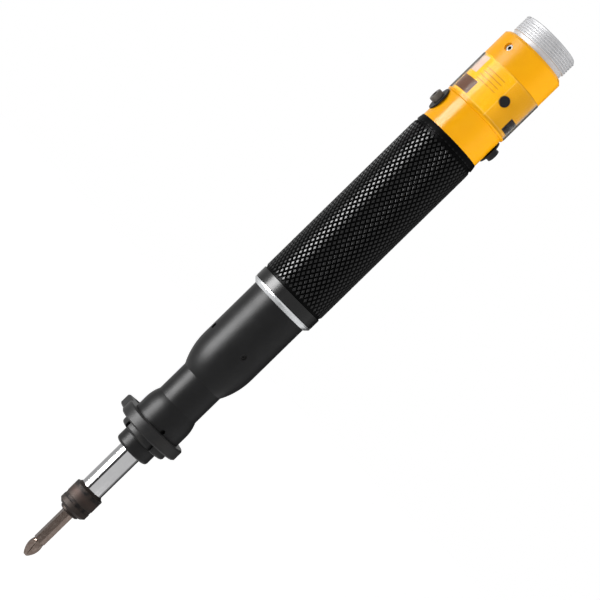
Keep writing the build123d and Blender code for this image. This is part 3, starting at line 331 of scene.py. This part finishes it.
black_anodised = grained_finish(
    "black_anodised", (0.0055, 0.0055, 0.0058), (0.0070, 0.0070, 0.0074), 0.37, specular=0.14, spread=0.05
)
dress(black_anodised, "gearcase_housing", "nose_collar")

# Flange, lock nut and screws
# Blackened steel. The flange and its slotted lock nut are turned and milled, and the nut holds the flange on
# the gearcase. The set screws and the washers are bought black.
black_steel = grained_finish(
    "black_steel", (0.009, 0.009, 0.0095), (0.016, 0.015, 0.014), 0.40, specular=0.17, spread=0.10, height=0.2
)
dress(black_steel, "mounting_flange", "flange_lock_nut", "gearcase_screws", "bail_washers", "motor_case")

# Spindle
# A hardened steel bar, ground and polished so that it slides and turns in the bush. Its front end, which
# carries the chuck, is left with a dark oxide.
spindle_cone_rear = -0.0406
dark_end_blend = 0.0001
dark_end_colour = (0.022, 0.018, 0.016, 1)
dark_end_roughness = 0.46
polished_steel = grained_finish(
    "polished_steel", (0.45, 0.45, 0.455), (0.42, 0.42, 0.425), 0.08, metallic=1.0, spread=0.02, height=0.003
)
nodes = polished_steel.node_tree.nodes
links = polished_steel.node_tree.links
steel_shader = nodes["Principled BSDF"]
steel_grain = nodes["Group"]
spindle_place = nodes.new("ShaderNodeSeparateXYZ")
dark_end = nodes.new("ShaderNodeMapRange")
dark_end.inputs["From Min"].default_value = spindle_cone_rear
dark_end.inputs["From Max"].default_value = spindle_cone_rear + dark_end_blend
end_colour = nodes.new("ShaderNodeMix")
end_colour.data_type = "RGBA"
end_colour.inputs["A"].default_value = dark_end_colour
end_roughness = nodes.new("ShaderNodeMix")
end_roughness.inputs["A"].default_value = dark_end_roughness
links.new(nodes["Texture Coordinate"].outputs["Object"], spindle_place.inputs["Vector"])
links.new(spindle_place.outputs["Z"], dark_end.inputs["Value"])
links.new(dark_end.outputs["Result"], end_colour.inputs["Factor"])
links.new(dark_end.outputs["Result"], end_roughness.inputs["Factor"])
links.new(steel_grain.outputs["Colour"], end_colour.inputs["B"])
links.new(steel_grain.outputs["Roughness"], end_roughness.inputs["B"])
links.new(end_colour.outputs["Result"], steel_shader.inputs["Base Color"])
links.new(end_roughness.outputs["Result"], steel_shader.inputs["Roughness"])
dress(polished_steel, "spindle")

# Chuck sleeve
# Turned steel with a brown-black oxide, dull red-brown in the band where fingers pull it, with painted shade
# in its groove and at the rear rim. It slides on the front end of the spindle.
sleeve_front = -0.0563
sleeve_rear = -0.0422
brown_oxide = (0.019, 0.015, 0.013, 1)
light_oxide = (0.021, 0.016, 0.014, 1)
red_oxide = (0.029, 0.018, 0.015, 1)
dull_red_oxide = (0.022, 0.015, 0.013, 1)
# Painted shade: a near-black colour laid into the sleeve's groove and over its rear rim, where shade falls.
painted_shade_oxide = (0.005, 0.004, 0.004, 1)
oxide_steel = grained_finish(
    "oxide_steel",
    (0.014, 0.011, 0.009),
    (0.034, 0.025, 0.021),
    0.56,
    metallic=0.8,
    spread=0.12,
    height=0.3,
    mottle=450,
)
nodes = oxide_steel.node_tree.nodes
links = oxide_steel.node_tree.links
sleeve_place = nodes.new("ShaderNodeSeparateXYZ")
sleeve_share = nodes.new("ShaderNodeMapRange")
sleeve_share.inputs["From Min"].default_value = sleeve_front
sleeve_share.inputs["From Max"].default_value = sleeve_rear
sleeve_bands = nodes.new("ShaderNodeValToRGB")
bands = sleeve_bands.color_ramp
bands.elements[0].color = brown_oxide
bands.elements[1].color = painted_shade_oxide
for position, colour in [
    (0.26, brown_oxide),
    (0.30, painted_shade_oxide),
    (0.42, painted_shade_oxide),
    (0.48, light_oxide),
    (0.68, red_oxide),
    (0.82, dull_red_oxide),
    (0.88, painted_shade_oxide),
]:
    bands.elements.new(position).color = colour
links.new(nodes["Texture Coordinate"].outputs["Object"], sleeve_place.inputs["Vector"])
links.new(sleeve_place.outputs["Z"], sleeve_share.inputs["Value"])
links.new(sleeve_share.outputs["Result"], sleeve_bands.inputs["Fac"])
links.new(sleeve_bands.outputs["Color"], nodes["Group"].inputs["Colour"])
dress(oxide_steel, "chuck_sleeve", "chuck_clip")

# Bit
# A power bit of hardened tool steel with a brown phosphate tint, a little worn. It is cut from a hexagonal
# bar, and the balls of the chuck hold it by a groove.
tool_steel = grained_finish(
    "tool_steel", (0.130, 0.098, 0.082), (0.200, 0.165, 0.145), 0.16, metallic=1.0, spread=0.06, mottle=900
)
dress(tool_steel, "screwdriver_bit")

# Clamp ring
# A bright ring between the gearcase and the grip. It is turned with bevelled edges and left without a
# coating.
bright_ring = grained_finish(
    "bright_ring", (0.58, 0.59, 0.60), (0.50, 0.51, 0.52), 0.26, metallic=1.0, spread=0.06, height=0.05
)
dress(bright_ring, "clamp_ring")

# Grip
# A tube of black anodised aluminium, plain at its front edge, diamond knurled by two crossed rollers over
# most of its length, and rounded down to the yellow housing behind. Hands have polished the crests.
grip_front = 0.099657
grip_rear = 0.220657
grip_radius = 0.0200
grip_bore = 0.0168
grip_front_edge = 0.0004
grip_end_radius = 0.0191
grip_taper_start = 0.211157
taper_steps = 6
knurl_start = 0.1067
knurl_root = 0.01938
knurl_runout = 0.0003
diamonds_round = 45
diamond_rows = 24
diamond_half_height = 0.00224
diamond_top_share = 0.46
diamond_corner_share = 0.9
tooth_reach = 1.1
knurl_sharpest = 25
crest_polish_foot = 0.00030
crest_polish_top = 0.00008
crest_shine = 0.52
crest_roughness = 0.28
merge_distance = 0.00001


def select_places(piece, chosen):
    """Select the vertices whose place passes a test, and stay in edit mode."""
    bpy.ops.object.mode_set(mode="EDIT")
    bpy.ops.mesh.select_mode(type="VERT")
    bpy.ops.mesh.select_all(action="DESELECT")
    bpy.ops.object.mode_set(mode="OBJECT")
    for vertex in piece.data.vertices:
        vertex.select = chosen(vertex.co)
    bpy.ops.object.mode_set(mode="EDIT")


def draw_ring(outline):
    """Extrude the selected ring of edges through an outline of radii and heights."""
    for (last_radius, last_height), (radius, height) in zip(outline, outline[1:]):
        bpy.ops.mesh.extrude_region_move(TRANSFORM_OT_translate={"value": (0, 0, height - last_height)})
        share = radius / last_radius
        bpy.ops.transform.resize(value=(share, share, 1), center_override=(0, 0, height))


def close_and_smooth(piece, sharpest):
    """Merge what meets, turn all faces outwards and leave edit mode with smooth rounds and crisp edges."""
    bpy.ops.mesh.select_all(action="SELECT")
    bpy.ops.mesh.remove_doubles(threshold=merge_distance)
    bpy.ops.mesh.normals_make_consistent(inside=False)
    bpy.ops.object.mode_set(mode="OBJECT")
    bpy.ops.object.shade_smooth_by_angle(angle=radians(sharpest))
    piece.data.name = piece.name


diamond_turn = pi / diamonds_round
diamond_half_width = knurl_root * sin(diamond_turn)
diamond_middle = knurl_start + diamond_half_height
bpy.ops.object.select_all(action="DESELECT")
bpy.ops.mesh.primitive_circle_add(
    vertices=4,
    radius=diamond_half_height,
    fill_type="NGON",
    location=(knurl_root, 0, diamond_middle),
    rotation=(0, pi / 2, 0),
)
knurled_grip = bpy.context.object
knurled_grip.name = "knurled_grip"
bpy.ops.object.transform_apply(location=True, rotation=True, scale=True)
bpy.ops.object.mode_set(mode="EDIT")
bpy.ops.mesh.select_all(action="SELECT")
bpy.ops.transform.resize(
    value=(1, diamond_half_width / diamond_half_height, 1), center_override=(knurl_root, 0, diamond_middle)
)
diamond_slant = (diamond_half_width**2 + diamond_half_height**2) ** 0.5
flank_width = diamond_half_width * diamond_half_height / diamond_slant * (1 - diamond_top_share)
bpy.ops.mesh.inset(thickness=flank_width, depth=0)
bpy.ops.transform.translate(value=(grip_radius - knurl_root, 0, 0))
select_places(knurled_grip, lambda place: abs(place.y) > diamond_half_width * diamond_corner_share)
bpy.ops.transform.translate(value=(knurl_root * (cos(diamond_turn) - 1), 0, 0))
bpy.ops.mesh.select_all(action="SELECT")
bpy.ops.mesh.spin(
    steps=diamonds_round - 1,
    dupli=True,
    angle=2 * pi * (diamonds_round - 1) / diamonds_round,
    center=(0, 0, 0),
    axis=(0, 0, 1),
)
bpy.ops.mesh.select_all(action="SELECT")
bpy.ops.mesh.duplicate_move(TRANSFORM_OT_translate={"value": (0, 0, diamond_half_height)})
bpy.ops.transform.rotate(value=diamond_turn, orient_axis="Z", center_override=(0, 0, 0))
bpy.ops.object.mode_set(mode="OBJECT")
rows = knurled_grip.modifiers.new("diamond_rows", "ARRAY")
rows.use_relative_offset = False
rows.use_constant_offset = True
rows.constant_offset_displace = (0, 0, 2 * diamond_half_height)
rows.count = diamond_rows
bpy.ops.object.modifier_apply(modifier=rows.name)
bpy.ops.object.mode_set(mode="EDIT")
bpy.ops.mesh.select_all(action="SELECT")
bpy.ops.mesh.remove_doubles(threshold=merge_distance)


def taper_share(height):
    """Share of its full radius that the grip keeps at a height."""
    run = max(height - grip_taper_start, 0) / (grip_rear - grip_taper_start)
    return 1 - (grip_radius - grip_end_radius) * run**2 / grip_radius


# The last diamonds follow the taper, one ring of corners at a time.
bpy.ops.object.mode_set(mode="OBJECT")
corner_heights = {round(vertex.co.z, 5) for vertex in knurled_grip.data.vertices}
for height in sorted(height for height in corner_heights if height > grip_taper_start):
    select_places(knurled_grip, lambda place: abs(place.z - height) < merge_distance)
    share = taper_share(height)
    bpy.ops.transform.resize(value=(share, share, 1), center_override=(0, 0, height))

# The saw-toothed edge at each end of the knurl runs out into a plain ring, and the tube goes on from there.
knurl_foot = knurl_root + merge_distance
front_teeth = knurl_start + tooth_reach * diamond_half_height
front_runout = knurl_start - knurl_runout
select_places(knurled_grip, lambda place: place.z < front_teeth and place.xy.length < knurl_foot)
bpy.ops.mesh.extrude_region_move(TRANSFORM_OT_translate={"value": (0, 0, -knurl_runout)})
bpy.ops.transform.resize(value=(1, 1, 0), center_override=(0, 0, front_runout))
draw_ring(
    [
        (knurl_root, front_runout),
        (grip_radius, front_runout - knurl_runout),
        (grip_radius, grip_front + grip_front_edge),
        (grip_radius - grip_front_edge, grip_front),
        (grip_bore, grip_front),
    ]
)
knurl_end = knurl_start + (2 * diamond_rows + 1) * diamond_half_height
rear_teeth = knurl_end - tooth_reach * diamond_half_height
rear_runout = knurl_end + knurl_runout
select_places(knurled_grip, lambda place: place.z > rear_teeth and place.xy.length < knurl_foot)
bpy.ops.mesh.extrude_region_move(TRANSFORM_OT_translate={"value": (0, 0, knurl_runout)})
bpy.ops.transform.resize(value=(1, 1, 0), center_override=(0, 0, rear_runout))
plain_start = rear_runout + knurl_runout
plain_length = grip_rear - plain_start
plain_heights = [plain_start + plain_length * step / taper_steps for step in range(taper_steps + 1)]
draw_ring(
    [
        (knurl_root * taper_share(rear_runout), rear_runout),
        *((grip_radius * taper_share(height), height) for height in plain_heights),
        (grip_bore, grip_rear),
        (grip_bore, grip_front),
    ]
)
close_and_smooth(knurled_grip, knurl_sharpest)
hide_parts("grip_tube")
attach(knurled_grip, "root")
knurled_black = grained_finish(
    "knurled_black", (0.0012, 0.0012, 0.0013), (0.0020, 0.0020, 0.0022), 0.34, specular=0.03, spread=0.06
)
nodes = knurled_black.node_tree.nodes
links = knurled_black.node_tree.links
knurl_place = nodes.new("ShaderNodeVectorMath")
knurl_place.operation = "MULTIPLY"
knurl_place.inputs[1].default_value = (1, 1, 0)
knurl_radius = nodes.new("ShaderNodeVectorMath")
knurl_radius.operation = "LENGTH"
crest_polish = nodes.new("ShaderNodeMapRange")
crest_polish.inputs["From Min"].default_value = grip_radius - crest_polish_foot
crest_polish.inputs["From Max"].default_value = grip_radius - crest_polish_top
crest_polish.inputs["To Max"].default_value = crest_shine
links.new(nodes["Texture Coordinate"].outputs["Object"], knurl_place.inputs[0])
links.new(knurl_place.outputs["Vector"], knurl_radius.inputs[0])
links.new(knurl_radius.outputs["Value"], crest_polish.inputs["Value"])
knurled_shader = nodes["Principled BSDF"]
links.new(crest_polish.outputs["Result"], knurled_shader.inputs["Coat Weight"])
knurled_shader.inputs["Coat Roughness"].default_value = crest_roughness
knurled_grip.data.materials.append(knurled_black)

# Rear housing and cap
# Turned aluminium under a smooth yellow enamel, glossier on the housing than on the cap, which closes its
# rear end and carries the connector.
yellow = (0.99, 0.440, 0.0020)
yellow_worn = (0.98, 0.420, 0.0018)
yellow_enamel = grained_finish(
    "yellow_enamel", yellow, yellow_worn, 0.18, specular=0.14, spread=0.03, height=0.02
)
cap_enamel = grained_finish("cap_enamel", yellow, yellow_worn, 0.28, specular=0.12, spread=0.04, height=0.04)
dress(yellow_enamel, "rear_housing")
dress(cap_enamel, "rear_cap")

# Label and its clear sleeve
# A printed film wrapped round the tube, under a clear plastic sleeve. It has two dark squares, a pale panel
# and some ruled lines. The wrap ends in a pale seam beside the button, and the film beyond it is duller. Two
# pale rings near the sleeve's ends are painted highlights of its edges.
label_middle = 0.2532
mark_edge = 0.0001
turn_edge = 0.004

label_mark, mark_in, mark_out = new_group(
    "label_mark",
    [
        ("Place", "NodeSocketVector", None),
        ("Turn", "NodeSocketFloat", 0.0),
        ("Half Turn", "NodeSocketFloat", 0.2),
        ("Height", "NodeSocketFloat", label_middle),
        ("Half Height", "NodeSocketFloat", 0.004),
    ],
    [("Mask", "NodeSocketFloat")],
)
mark_place = label_mark.nodes.new("ShaderNodeSeparateXYZ")
label_mark.links.new(mark_in.outputs["Place"], mark_place.inputs["Vector"])
mark_sine = add_sum(label_mark, "SINE", mark_in.outputs["Turn"])
mark_cosine = add_sum(label_mark, "COSINE", mark_in.outputs["Turn"])
ahead = add_sum(
    label_mark,
    "ADD",
    add_sum(label_mark, "MULTIPLY", mark_place.outputs["X"], mark_cosine),
    add_sum(label_mark, "MULTIPLY", mark_place.outputs["Y"], mark_sine),
)
beside = add_sum(
    label_mark,
    "SUBTRACT",
    add_sum(label_mark, "MULTIPLY", mark_place.outputs["Y"], mark_cosine),
    add_sum(label_mark, "MULTIPLY", mark_place.outputs["X"], mark_sine),
)
turned_by = add_sum(label_mark, "ABSOLUTE", add_sum(label_mark, "ARCTAN2", beside, ahead))
turn_left = add_sum(label_mark, "SUBTRACT", mark_in.outputs["Half Turn"], turned_by)
within_turn = add_sum(label_mark, "DIVIDE", turn_left, turn_edge)
height_off = add_sum(label_mark, "SUBTRACT", mark_place.outputs["Z"], mark_in.outputs["Height"])
raised_by = add_sum(label_mark, "ABSOLUTE", height_off)
height_left = add_sum(label_mark, "SUBTRACT", mark_in.outputs["Half Height"], raised_by)
within_height = add_sum(label_mark, "DIVIDE", height_left, mark_edge)
inside_mark = add_sum(label_mark, "MINIMUM", within_turn, within_height)
mark_mask = add_sum(label_mark, "MINIMUM", add_sum(label_mark, "MAXIMUM", inside_mark, 0.0), 1.0)
label_mark.links.new(mark_mask, mark_out.inputs["Mask"])

label_film = grained_finish(
    "label_film", (0.86, 0.410, 0.009), (0.82, 0.380, 0.008), 0.45, specular=0.1, spread=0.05, height=0.02
)
film_tree = label_film.node_tree
film_colour = film_tree.nodes["Group"].outputs["Colour"]
bright_film = (0.95, 0.480, 0.003)
brown_print = (0.095, 0.038, 0.022)
black_print = (0.006, 0.004, 0.006)
pale_print = (0.62, 0.49, 0.47)
fine_print = (0.42, 0.12, 0.012)
# Pale ink for the wrap's seam, also used for the painted highlights at the sleeve's edges.
seam_print_and_edge_highlight = (0.94, 0.62, 0.14)
line_height = 0.2527
line_gap = 0.0025
line_count = 4

# Each mark has its colour, turn, half turn, height, half height and strength.
label_marks = [
    (bright_film, radians(-170), radians(69), label_middle, 0.02, 0.8),
    (seam_print_and_edge_highlight, radians(-101), radians(0.55), label_middle, 0.02, 0.7),
    # These two pale rings are painted highlights, where the clear sleeve's front and rear edges catch the
    # light.
    (seam_print_and_edge_highlight, 0, 2 * pi, 0.2420, 0.00022, 0.6),
    (seam_print_and_edge_highlight, 0, 2 * pi, 0.2650, 0.00020, 0.4),
    (brown_print, radians(-164.3), radians(19.7), 0.2468, 0.0042, 1),
    (black_print, radians(-39.8), radians(19.9), 0.2468, 0.0039, 1),
    (pale_print, radians(-184), radians(21), 0.2595, 0.0052, 0.9),
    *(
        (fine_print, radians(-134), radians(21), line_height + line_gap * line, 0.00036, 0.6)
        for line in range(line_count)
    ),
]
for colour, turn, half_turn, height, half_height, strength in label_marks:
    mark = film_tree.nodes.new("ShaderNodeGroup")
    mark.node_tree = label_mark
    mark.inputs["Turn"].default_value = turn
    mark.inputs["Half Turn"].default_value = half_turn
    mark.inputs["Height"].default_value = height
    mark.inputs["Half Height"].default_value = half_height
    film_tree.links.new(film_tree.nodes["Texture Coordinate"].outputs["Object"], mark.inputs["Place"])
    ink = add_sum(film_tree, "MULTIPLY", mark.outputs["Mask"], strength)
    printed = film_tree.nodes.new("ShaderNodeMix")
    printed.data_type = "RGBA"
    printed.inputs["B"].default_value = (*colour, 1)
    film_tree.links.new(ink, printed.inputs["Factor"])
    film_tree.links.new(film_colour, printed.inputs["A"])
    film_colour = printed.outputs["Result"]
film_tree.links.new(film_colour, film_tree.nodes["Principled BSDF"].inputs["Base Color"])
dress(label_film, "label_wrap")

# The sleeve's rims have painted shade where seen edge on, and lamps shine through it without a shadow.
clear_middle = (1.0, 0.98, 0.94, 1)
painted_rim_shade = (0.020, 0.017, 0.012, 1)
clear_rim_start = 0.58
clear_rim_full = 0.72
clear_plastic = bpy.data.materials.new("clear_plastic")
clear_plastic.use_nodes = True
nodes = clear_plastic.node_tree.nodes
links = clear_plastic.node_tree.links
clear_shader = nodes["Principled BSDF"]
clear_shader.inputs["Roughness"].default_value = 0.15
clear_shader.inputs["IOR"].default_value = 1.10
clear_shader.inputs["Transmission Weight"].default_value = 1.0
clear_edge = nodes.new("ShaderNodeLayerWeight")
clear_rim = nodes.new("ShaderNodeMapRange")
clear_rim.inputs["From Min"].default_value = clear_rim_start
clear_rim.inputs["From Max"].default_value = clear_rim_full
painted_rim_mix = nodes.new("ShaderNodeMix")
painted_rim_mix.data_type = "RGBA"
painted_rim_mix.inputs["A"].default_value = clear_middle
painted_rim_mix.inputs["B"].default_value = painted_rim_shade
links.new(clear_edge.outputs["Facing"], clear_rim.inputs["Value"])
links.new(clear_rim.outputs["Result"], painted_rim_mix.inputs["Factor"])
links.new(painted_rim_mix.outputs["Result"], clear_shader.inputs["Base Color"])
clear_path = nodes.new("ShaderNodeLightPath")
clear_shadow = nodes.new("ShaderNodeBsdfTransparent")
clear_mix = nodes.new("ShaderNodeMixShader")
links.new(clear_path.outputs["Is Shadow Ray"], clear_mix.inputs["Fac"])
links.new(clear_shader.outputs["BSDF"], clear_mix.inputs[1])
links.new(clear_shadow.outputs["BSDF"], clear_mix.inputs[2])
links.new(clear_mix.outputs["Shader"], nodes["Material Output"].inputs["Surface"])
dress(clear_plastic, "clear_sleeve")

# Button and other black mouldings
# Black plastic, moulded with a satin skin. The button stands on its spring and comes out beside the label,
# and the others hold the board and the connector's contacts inside.
black_moulding = grained_finish(
    "black_moulding", (0.004, 0.004, 0.005), (0.007, 0.007, 0.008), 0.40, specular=0.2, spread=0.05
)
dress(black_moulding, "function_button", "connector_insert", "board_supports", "board_components")

# Bail screws and set screw
# Socket head screws, one on each side for a hanging bail. The upper one is of browned steel, and the lower
# one, on the shaded side, is painted black as shade. The cap's set screw is bright, down in its small mouth.
bail_screw_turns = (radians(-8), radians(172))
bail_screw_height = 0.231857
bail_shank_foot = 0.0162
bail_shank_radius = 0.0020
bail_head_foot = 0.0198
bail_head_radius = 0.0037
bail_head_top = 0.0230
bail_head_rounding = 0.0004
bail_screw_sides = 48
bail_key_half_width = 0.0015
bail_key_depth = 0.0018
overrun = 0.0010
round_middle = 0.3
turned_sharpest = 35
sharp_point = 0.00005


def turned(name, outline, sides):
    """Turn a piece round Z from a closed outline of radii and heights."""
    radius, height = outline[0]
    bpy.ops.object.select_all(action="DESELECT")
    bpy.ops.mesh.primitive_circle_add(vertices=sides, radius=radius, location=(0, 0, height))
    piece = bpy.context.object
    piece.name = name
    bpy.ops.object.transform_apply(location=True, rotation=True, scale=True)
    bpy.ops.object.mode_set(mode="EDIT")
    bpy.ops.mesh.select_all(action="SELECT")
    draw_ring([*outline, outline[0]])
    close_and_smooth(piece, turned_sharpest)
    return piece


def take_up(piece):
    """Select one piece alone and make it active."""
    bpy.ops.object.select_all(action="DESELECT")
    piece.select_set(True)
    bpy.context.view_layer.objects.active = piece


def combine(piece, other, operation):
    """Join another closed piece to one, or cut it out, and throw the other away."""
    take_up(piece)
    change = piece.modifiers.new("change", "BOOLEAN")
    change.operation = operation
    change.solver = "EXACT"
    change.object = other
    bpy.ops.object.modifier_apply(modifier=change.name)
    bpy.data.objects.remove(other)


round_inset = bail_head_rounding * round_middle
bail_screw = turned(
    "bail_screw_upper",
    [
        (sharp_point, bail_shank_foot),
        (bail_shank_radius, bail_shank_foot),
        (bail_shank_radius, bail_head_foot),
        (bail_head_radius - bail_head_rounding / 2, bail_head_foot),
        (bail_head_radius, bail_head_foot + bail_head_rounding / 2),
        (bail_head_radius, bail_head_top - bail_head_rounding),
        (bail_head_radius - round_inset, bail_head_top - round_inset),
        (bail_head_radius - bail_head_rounding, bail_head_top),
        (sharp_point, bail_head_top),
    ],
    bail_screw_sides,
)
bpy.ops.object.select_all(action="DESELECT")
bpy.ops.mesh.primitive_cylinder_add(
    vertices=6,
    radius=bail_key_half_width / cos(pi / 6),
    depth=bail_key_depth + overrun,
    location=(0, 0, bail_head_top + (overrun - bail_key_depth) / 2),
)
combine(bail_screw, bpy.context.object, "DIFFERENCE")
browned_steel = grained_finish(
    "browned_steel", (0.13, 0.115, 0.10), (0.07, 0.06, 0.05), 0.34, metallic=1.0, spread=0.12, height=0.2
)
bail_screw.data.materials.append(browned_steel)
lower_screw = bail_screw.copy()
lower_screw.data = bail_screw.data.copy()
lower_screw.name = "bail_screw_lower"
bpy.context.collection.objects.link(lower_screw)
for screw, turn in zip((lower_screw, bail_screw), bail_screw_turns):
    take_up(screw)
    screw.rotation_euler = (0, pi / 2, turn)
    screw.location = (0, 0, bail_screw_height)
    bpy.ops.object.transform_apply(location=True, rotation=True, scale=True)
    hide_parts("bail_screws")
    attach(screw, "root")
# Painted shade: the lower screw, on the side away from the lamps, is given the black steel finish.
lower_screw.data.materials[0] = black_steel
bright_screw = grained_finish(
    "bright_screw", (0.13, 0.127, 0.12), (0.08, 0.075, 0.07), 0.30, metallic=1.0, spread=0.08
)
dress(bright_screw, "cap_set_screw")

# Connector
# A turned aluminium shell, threaded outside for the cable's nut. The thread is cut in one pass, with a groove
# at the cap and a bevelled mouth.
shell_bore = 0.0135
shell_stem = 0.0155
shell_neck = 0.0169
thread_root = 0.01690
thread_crest = 0.0175
shell_mouth = 0.0150
shell_foot = 0.272057
shell_seat = 0.282757
neck_end = 0.284257
mouth_floor = 0.289557
shell_end = 0.295557
shell_bevel = 0.0006
shell_sides = 144
thread_start = 0.28435
thread_turns = 6.5
thread_pitch = 0.0015
thread_steps = 96
tooth_root_share = 0.90
tooth_crest_share = 0.34
tooth_sink = 0.00008
thread_sharpest = 25
connector = turned(
    "connector_threaded_shell",
    [
        (shell_bore, shell_foot),
        (shell_stem, shell_foot),
        (shell_stem, shell_seat),
        (shell_neck, shell_seat),
        (thread_root, neck_end),
        (thread_root, shell_end - shell_bevel),
        (thread_root - shell_bevel, shell_end),
        (shell_mouth, shell_end),
        (shell_mouth, mouth_floor),
        (shell_bore, mouth_floor),
    ],
    shell_sides,
)
tooth_width = thread_pitch * tooth_root_share
tooth_middle = ((thread_root + thread_crest) / 2, 0, thread_start + tooth_width / 2)
bpy.ops.object.select_all(action="DESELECT")
bpy.ops.mesh.primitive_plane_add(size=1, location=tooth_middle, rotation=(pi / 2, 0, 0))
tooth = bpy.context.object
bpy.ops.object.transform_apply(location=True, rotation=True, scale=True)
bpy.ops.object.mode_set(mode="EDIT")
bpy.ops.mesh.select_all(action="SELECT")
bpy.ops.transform.resize(value=(thread_crest - thread_root, 1, tooth_width), center_override=tooth_middle)
bpy.ops.mesh.delete(type="ONLY_FACE")
select_places(tooth, lambda place: place.x > tooth_middle[0])
bpy.ops.transform.resize(value=(1, 1, tooth_crest_share / tooth_root_share), center_override=tooth_middle)
select_places(tooth, lambda place: place.x < tooth_middle[0])
bpy.ops.transform.translate(value=(-tooth_sink, 0, 0))
bpy.ops.object.mode_set(mode="OBJECT")
helix = tooth.modifiers.new("helix", "SCREW")
helix.angle = 2 * pi * thread_turns
helix.screw_offset = thread_pitch * thread_turns
helix.steps = int(thread_steps * thread_turns)
helix.render_steps = helix.steps
bpy.ops.object.modifier_apply(modifier=helix.name)
bpy.ops.object.mode_set(mode="EDIT")
bpy.ops.mesh.select_all(action="SELECT")
bpy.ops.mesh.fill_holes(sides=4)
bpy.ops.mesh.normals_make_consistent(inside=False)
bpy.ops.object.mode_set(mode="OBJECT")
combine(connector, tooth, "UNION")
bpy.ops.object.mode_set(mode="EDIT")
close_and_smooth(connector, thread_sharpest)
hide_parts("connector_shell")
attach(connector, "root")
turned_aluminium = grained_finish(
    "turned_aluminium",
    (0.56, 0.56, 0.57),
    (0.51, 0.51, 0.52),
    0.48,
    metallic=0.22,
    specular=0.10,
    height=0.05,
)
connector.data.materials.append(turned_aluminium)
dress(turned_aluminium, "motor_front_plate", "motor_rear_plate")

# Inner pieces
# The drive, the motor and the boards, which the housings hide. Shafts and gears are ground steel, the bush is
# bronze, and the rest are as such parts are bought.
ground_steel = grained_finish(
    "ground_steel", (0.50, 0.50, 0.51), (0.40, 0.40, 0.41), 0.28, metallic=1.0, spread=0.08
)
dress(
    ground_steel,
    *("output_shaft first_carrier first_planet_pins second_planet_pins rotor_shaft ring_gear".split()),
    *("output_bearings motor_bearings lock_ball_1 lock_ball_2 torque_transducer".split()),
    *(f"{stage}_planet_{number}" for stage in ("first", "second") for number in (1, 2, 3)),
)
bronze = grained_finish("bronze", (0.52, 0.33, 0.15), (0.40, 0.25, 0.12), 0.38, metallic=1.0, height=0.2)
dress(bronze, "spindle_bush")
rubber = grained_finish("rubber", (0.014, 0.014, 0.014), (0.02, 0.02, 0.02), 0.65, specular=0.3, height=0.3)
dress(rubber, "nose_wiper", "housing_seals")
core_steel = grained_finish(
    "core_steel", (0.28, 0.29, 0.31), (0.22, 0.23, 0.25), 0.40, metallic=1.0, height=0.2
)
dress(core_steel, "stator_core", "rotor_magnet", "encoder_magnet")
copper = grained_finish("copper", (0.66, 0.27, 0.10), (0.55, 0.21, 0.08), 0.30, metallic=1.0, height=0.3)
dress(copper, "stator_windings")
lead_skin = grained_finish("lead_skin", (0.02, 0.02, 0.03), (0.03, 0.03, 0.04), 0.45)
dress(lead_skin, "motor_leads", "connector_leads")
solder_mask = grained_finish("solder_mask", (0.01, 0.09, 0.03), (0.015, 0.11, 0.04), 0.30)
dress(solder_mask, "encoder_board", "control_board")
contact_gold = grained_finish("contact_gold", (0.76, 0.52, 0.19), (0.66, 0.44, 0.16), 0.24, metallic=1.0)
dress(contact_gold, "connector_contacts")

# Springs
# Three compression springs of round wire, wound cold. Each one is carried by the body it stands on.
wire_sharpest = 65
spindle_travel = 0.025
sleeve_travel = 0.0025
button_travel = 0.0008
spindle_spring_foot = along * 0.044107
chuck_spring_foot = along * -0.05545
button_turn = radians(-93)
outwards = Vector((cos(button_turn), sin(button_turn), 0))
button_spring_foot = outwards * 0.0092127 + along * 0.253257
spring_wire = grained_finish(
    "spring_wire", (0.40, 0.40, 0.41), (0.30, 0.30, 0.31), 0.32, metallic=1.0, spread=0.08
)
springs = [
    ("spindle_spring", "output_shaft", "spindle_slide", spindle_travel, along, spindle_spring_foot),
    ("chuck_spring", "spindle", "chuck_sleeve_slide", sleeve_travel, along, chuck_spring_foot),
    ("button_spring", "root", "button_press", button_travel, outwards, button_spring_foot),
]
for node_name, body, joint, travel, direction, fixed_end in springs:
    spring = bpy.data.objects.new("wound_" + node_name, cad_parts[node_name].data.copy())
    bpy.context.collection.objects.link(spring)
    take_up(spring)
    bpy.ops.object.mode_set(mode="EDIT")
    close_and_smooth(spring, wire_sharpest)
    spring.data.materials.clear()
    spring.data.materials.append(spring_wire)
    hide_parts(node_name)
    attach(spring, body)
    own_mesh(spring)
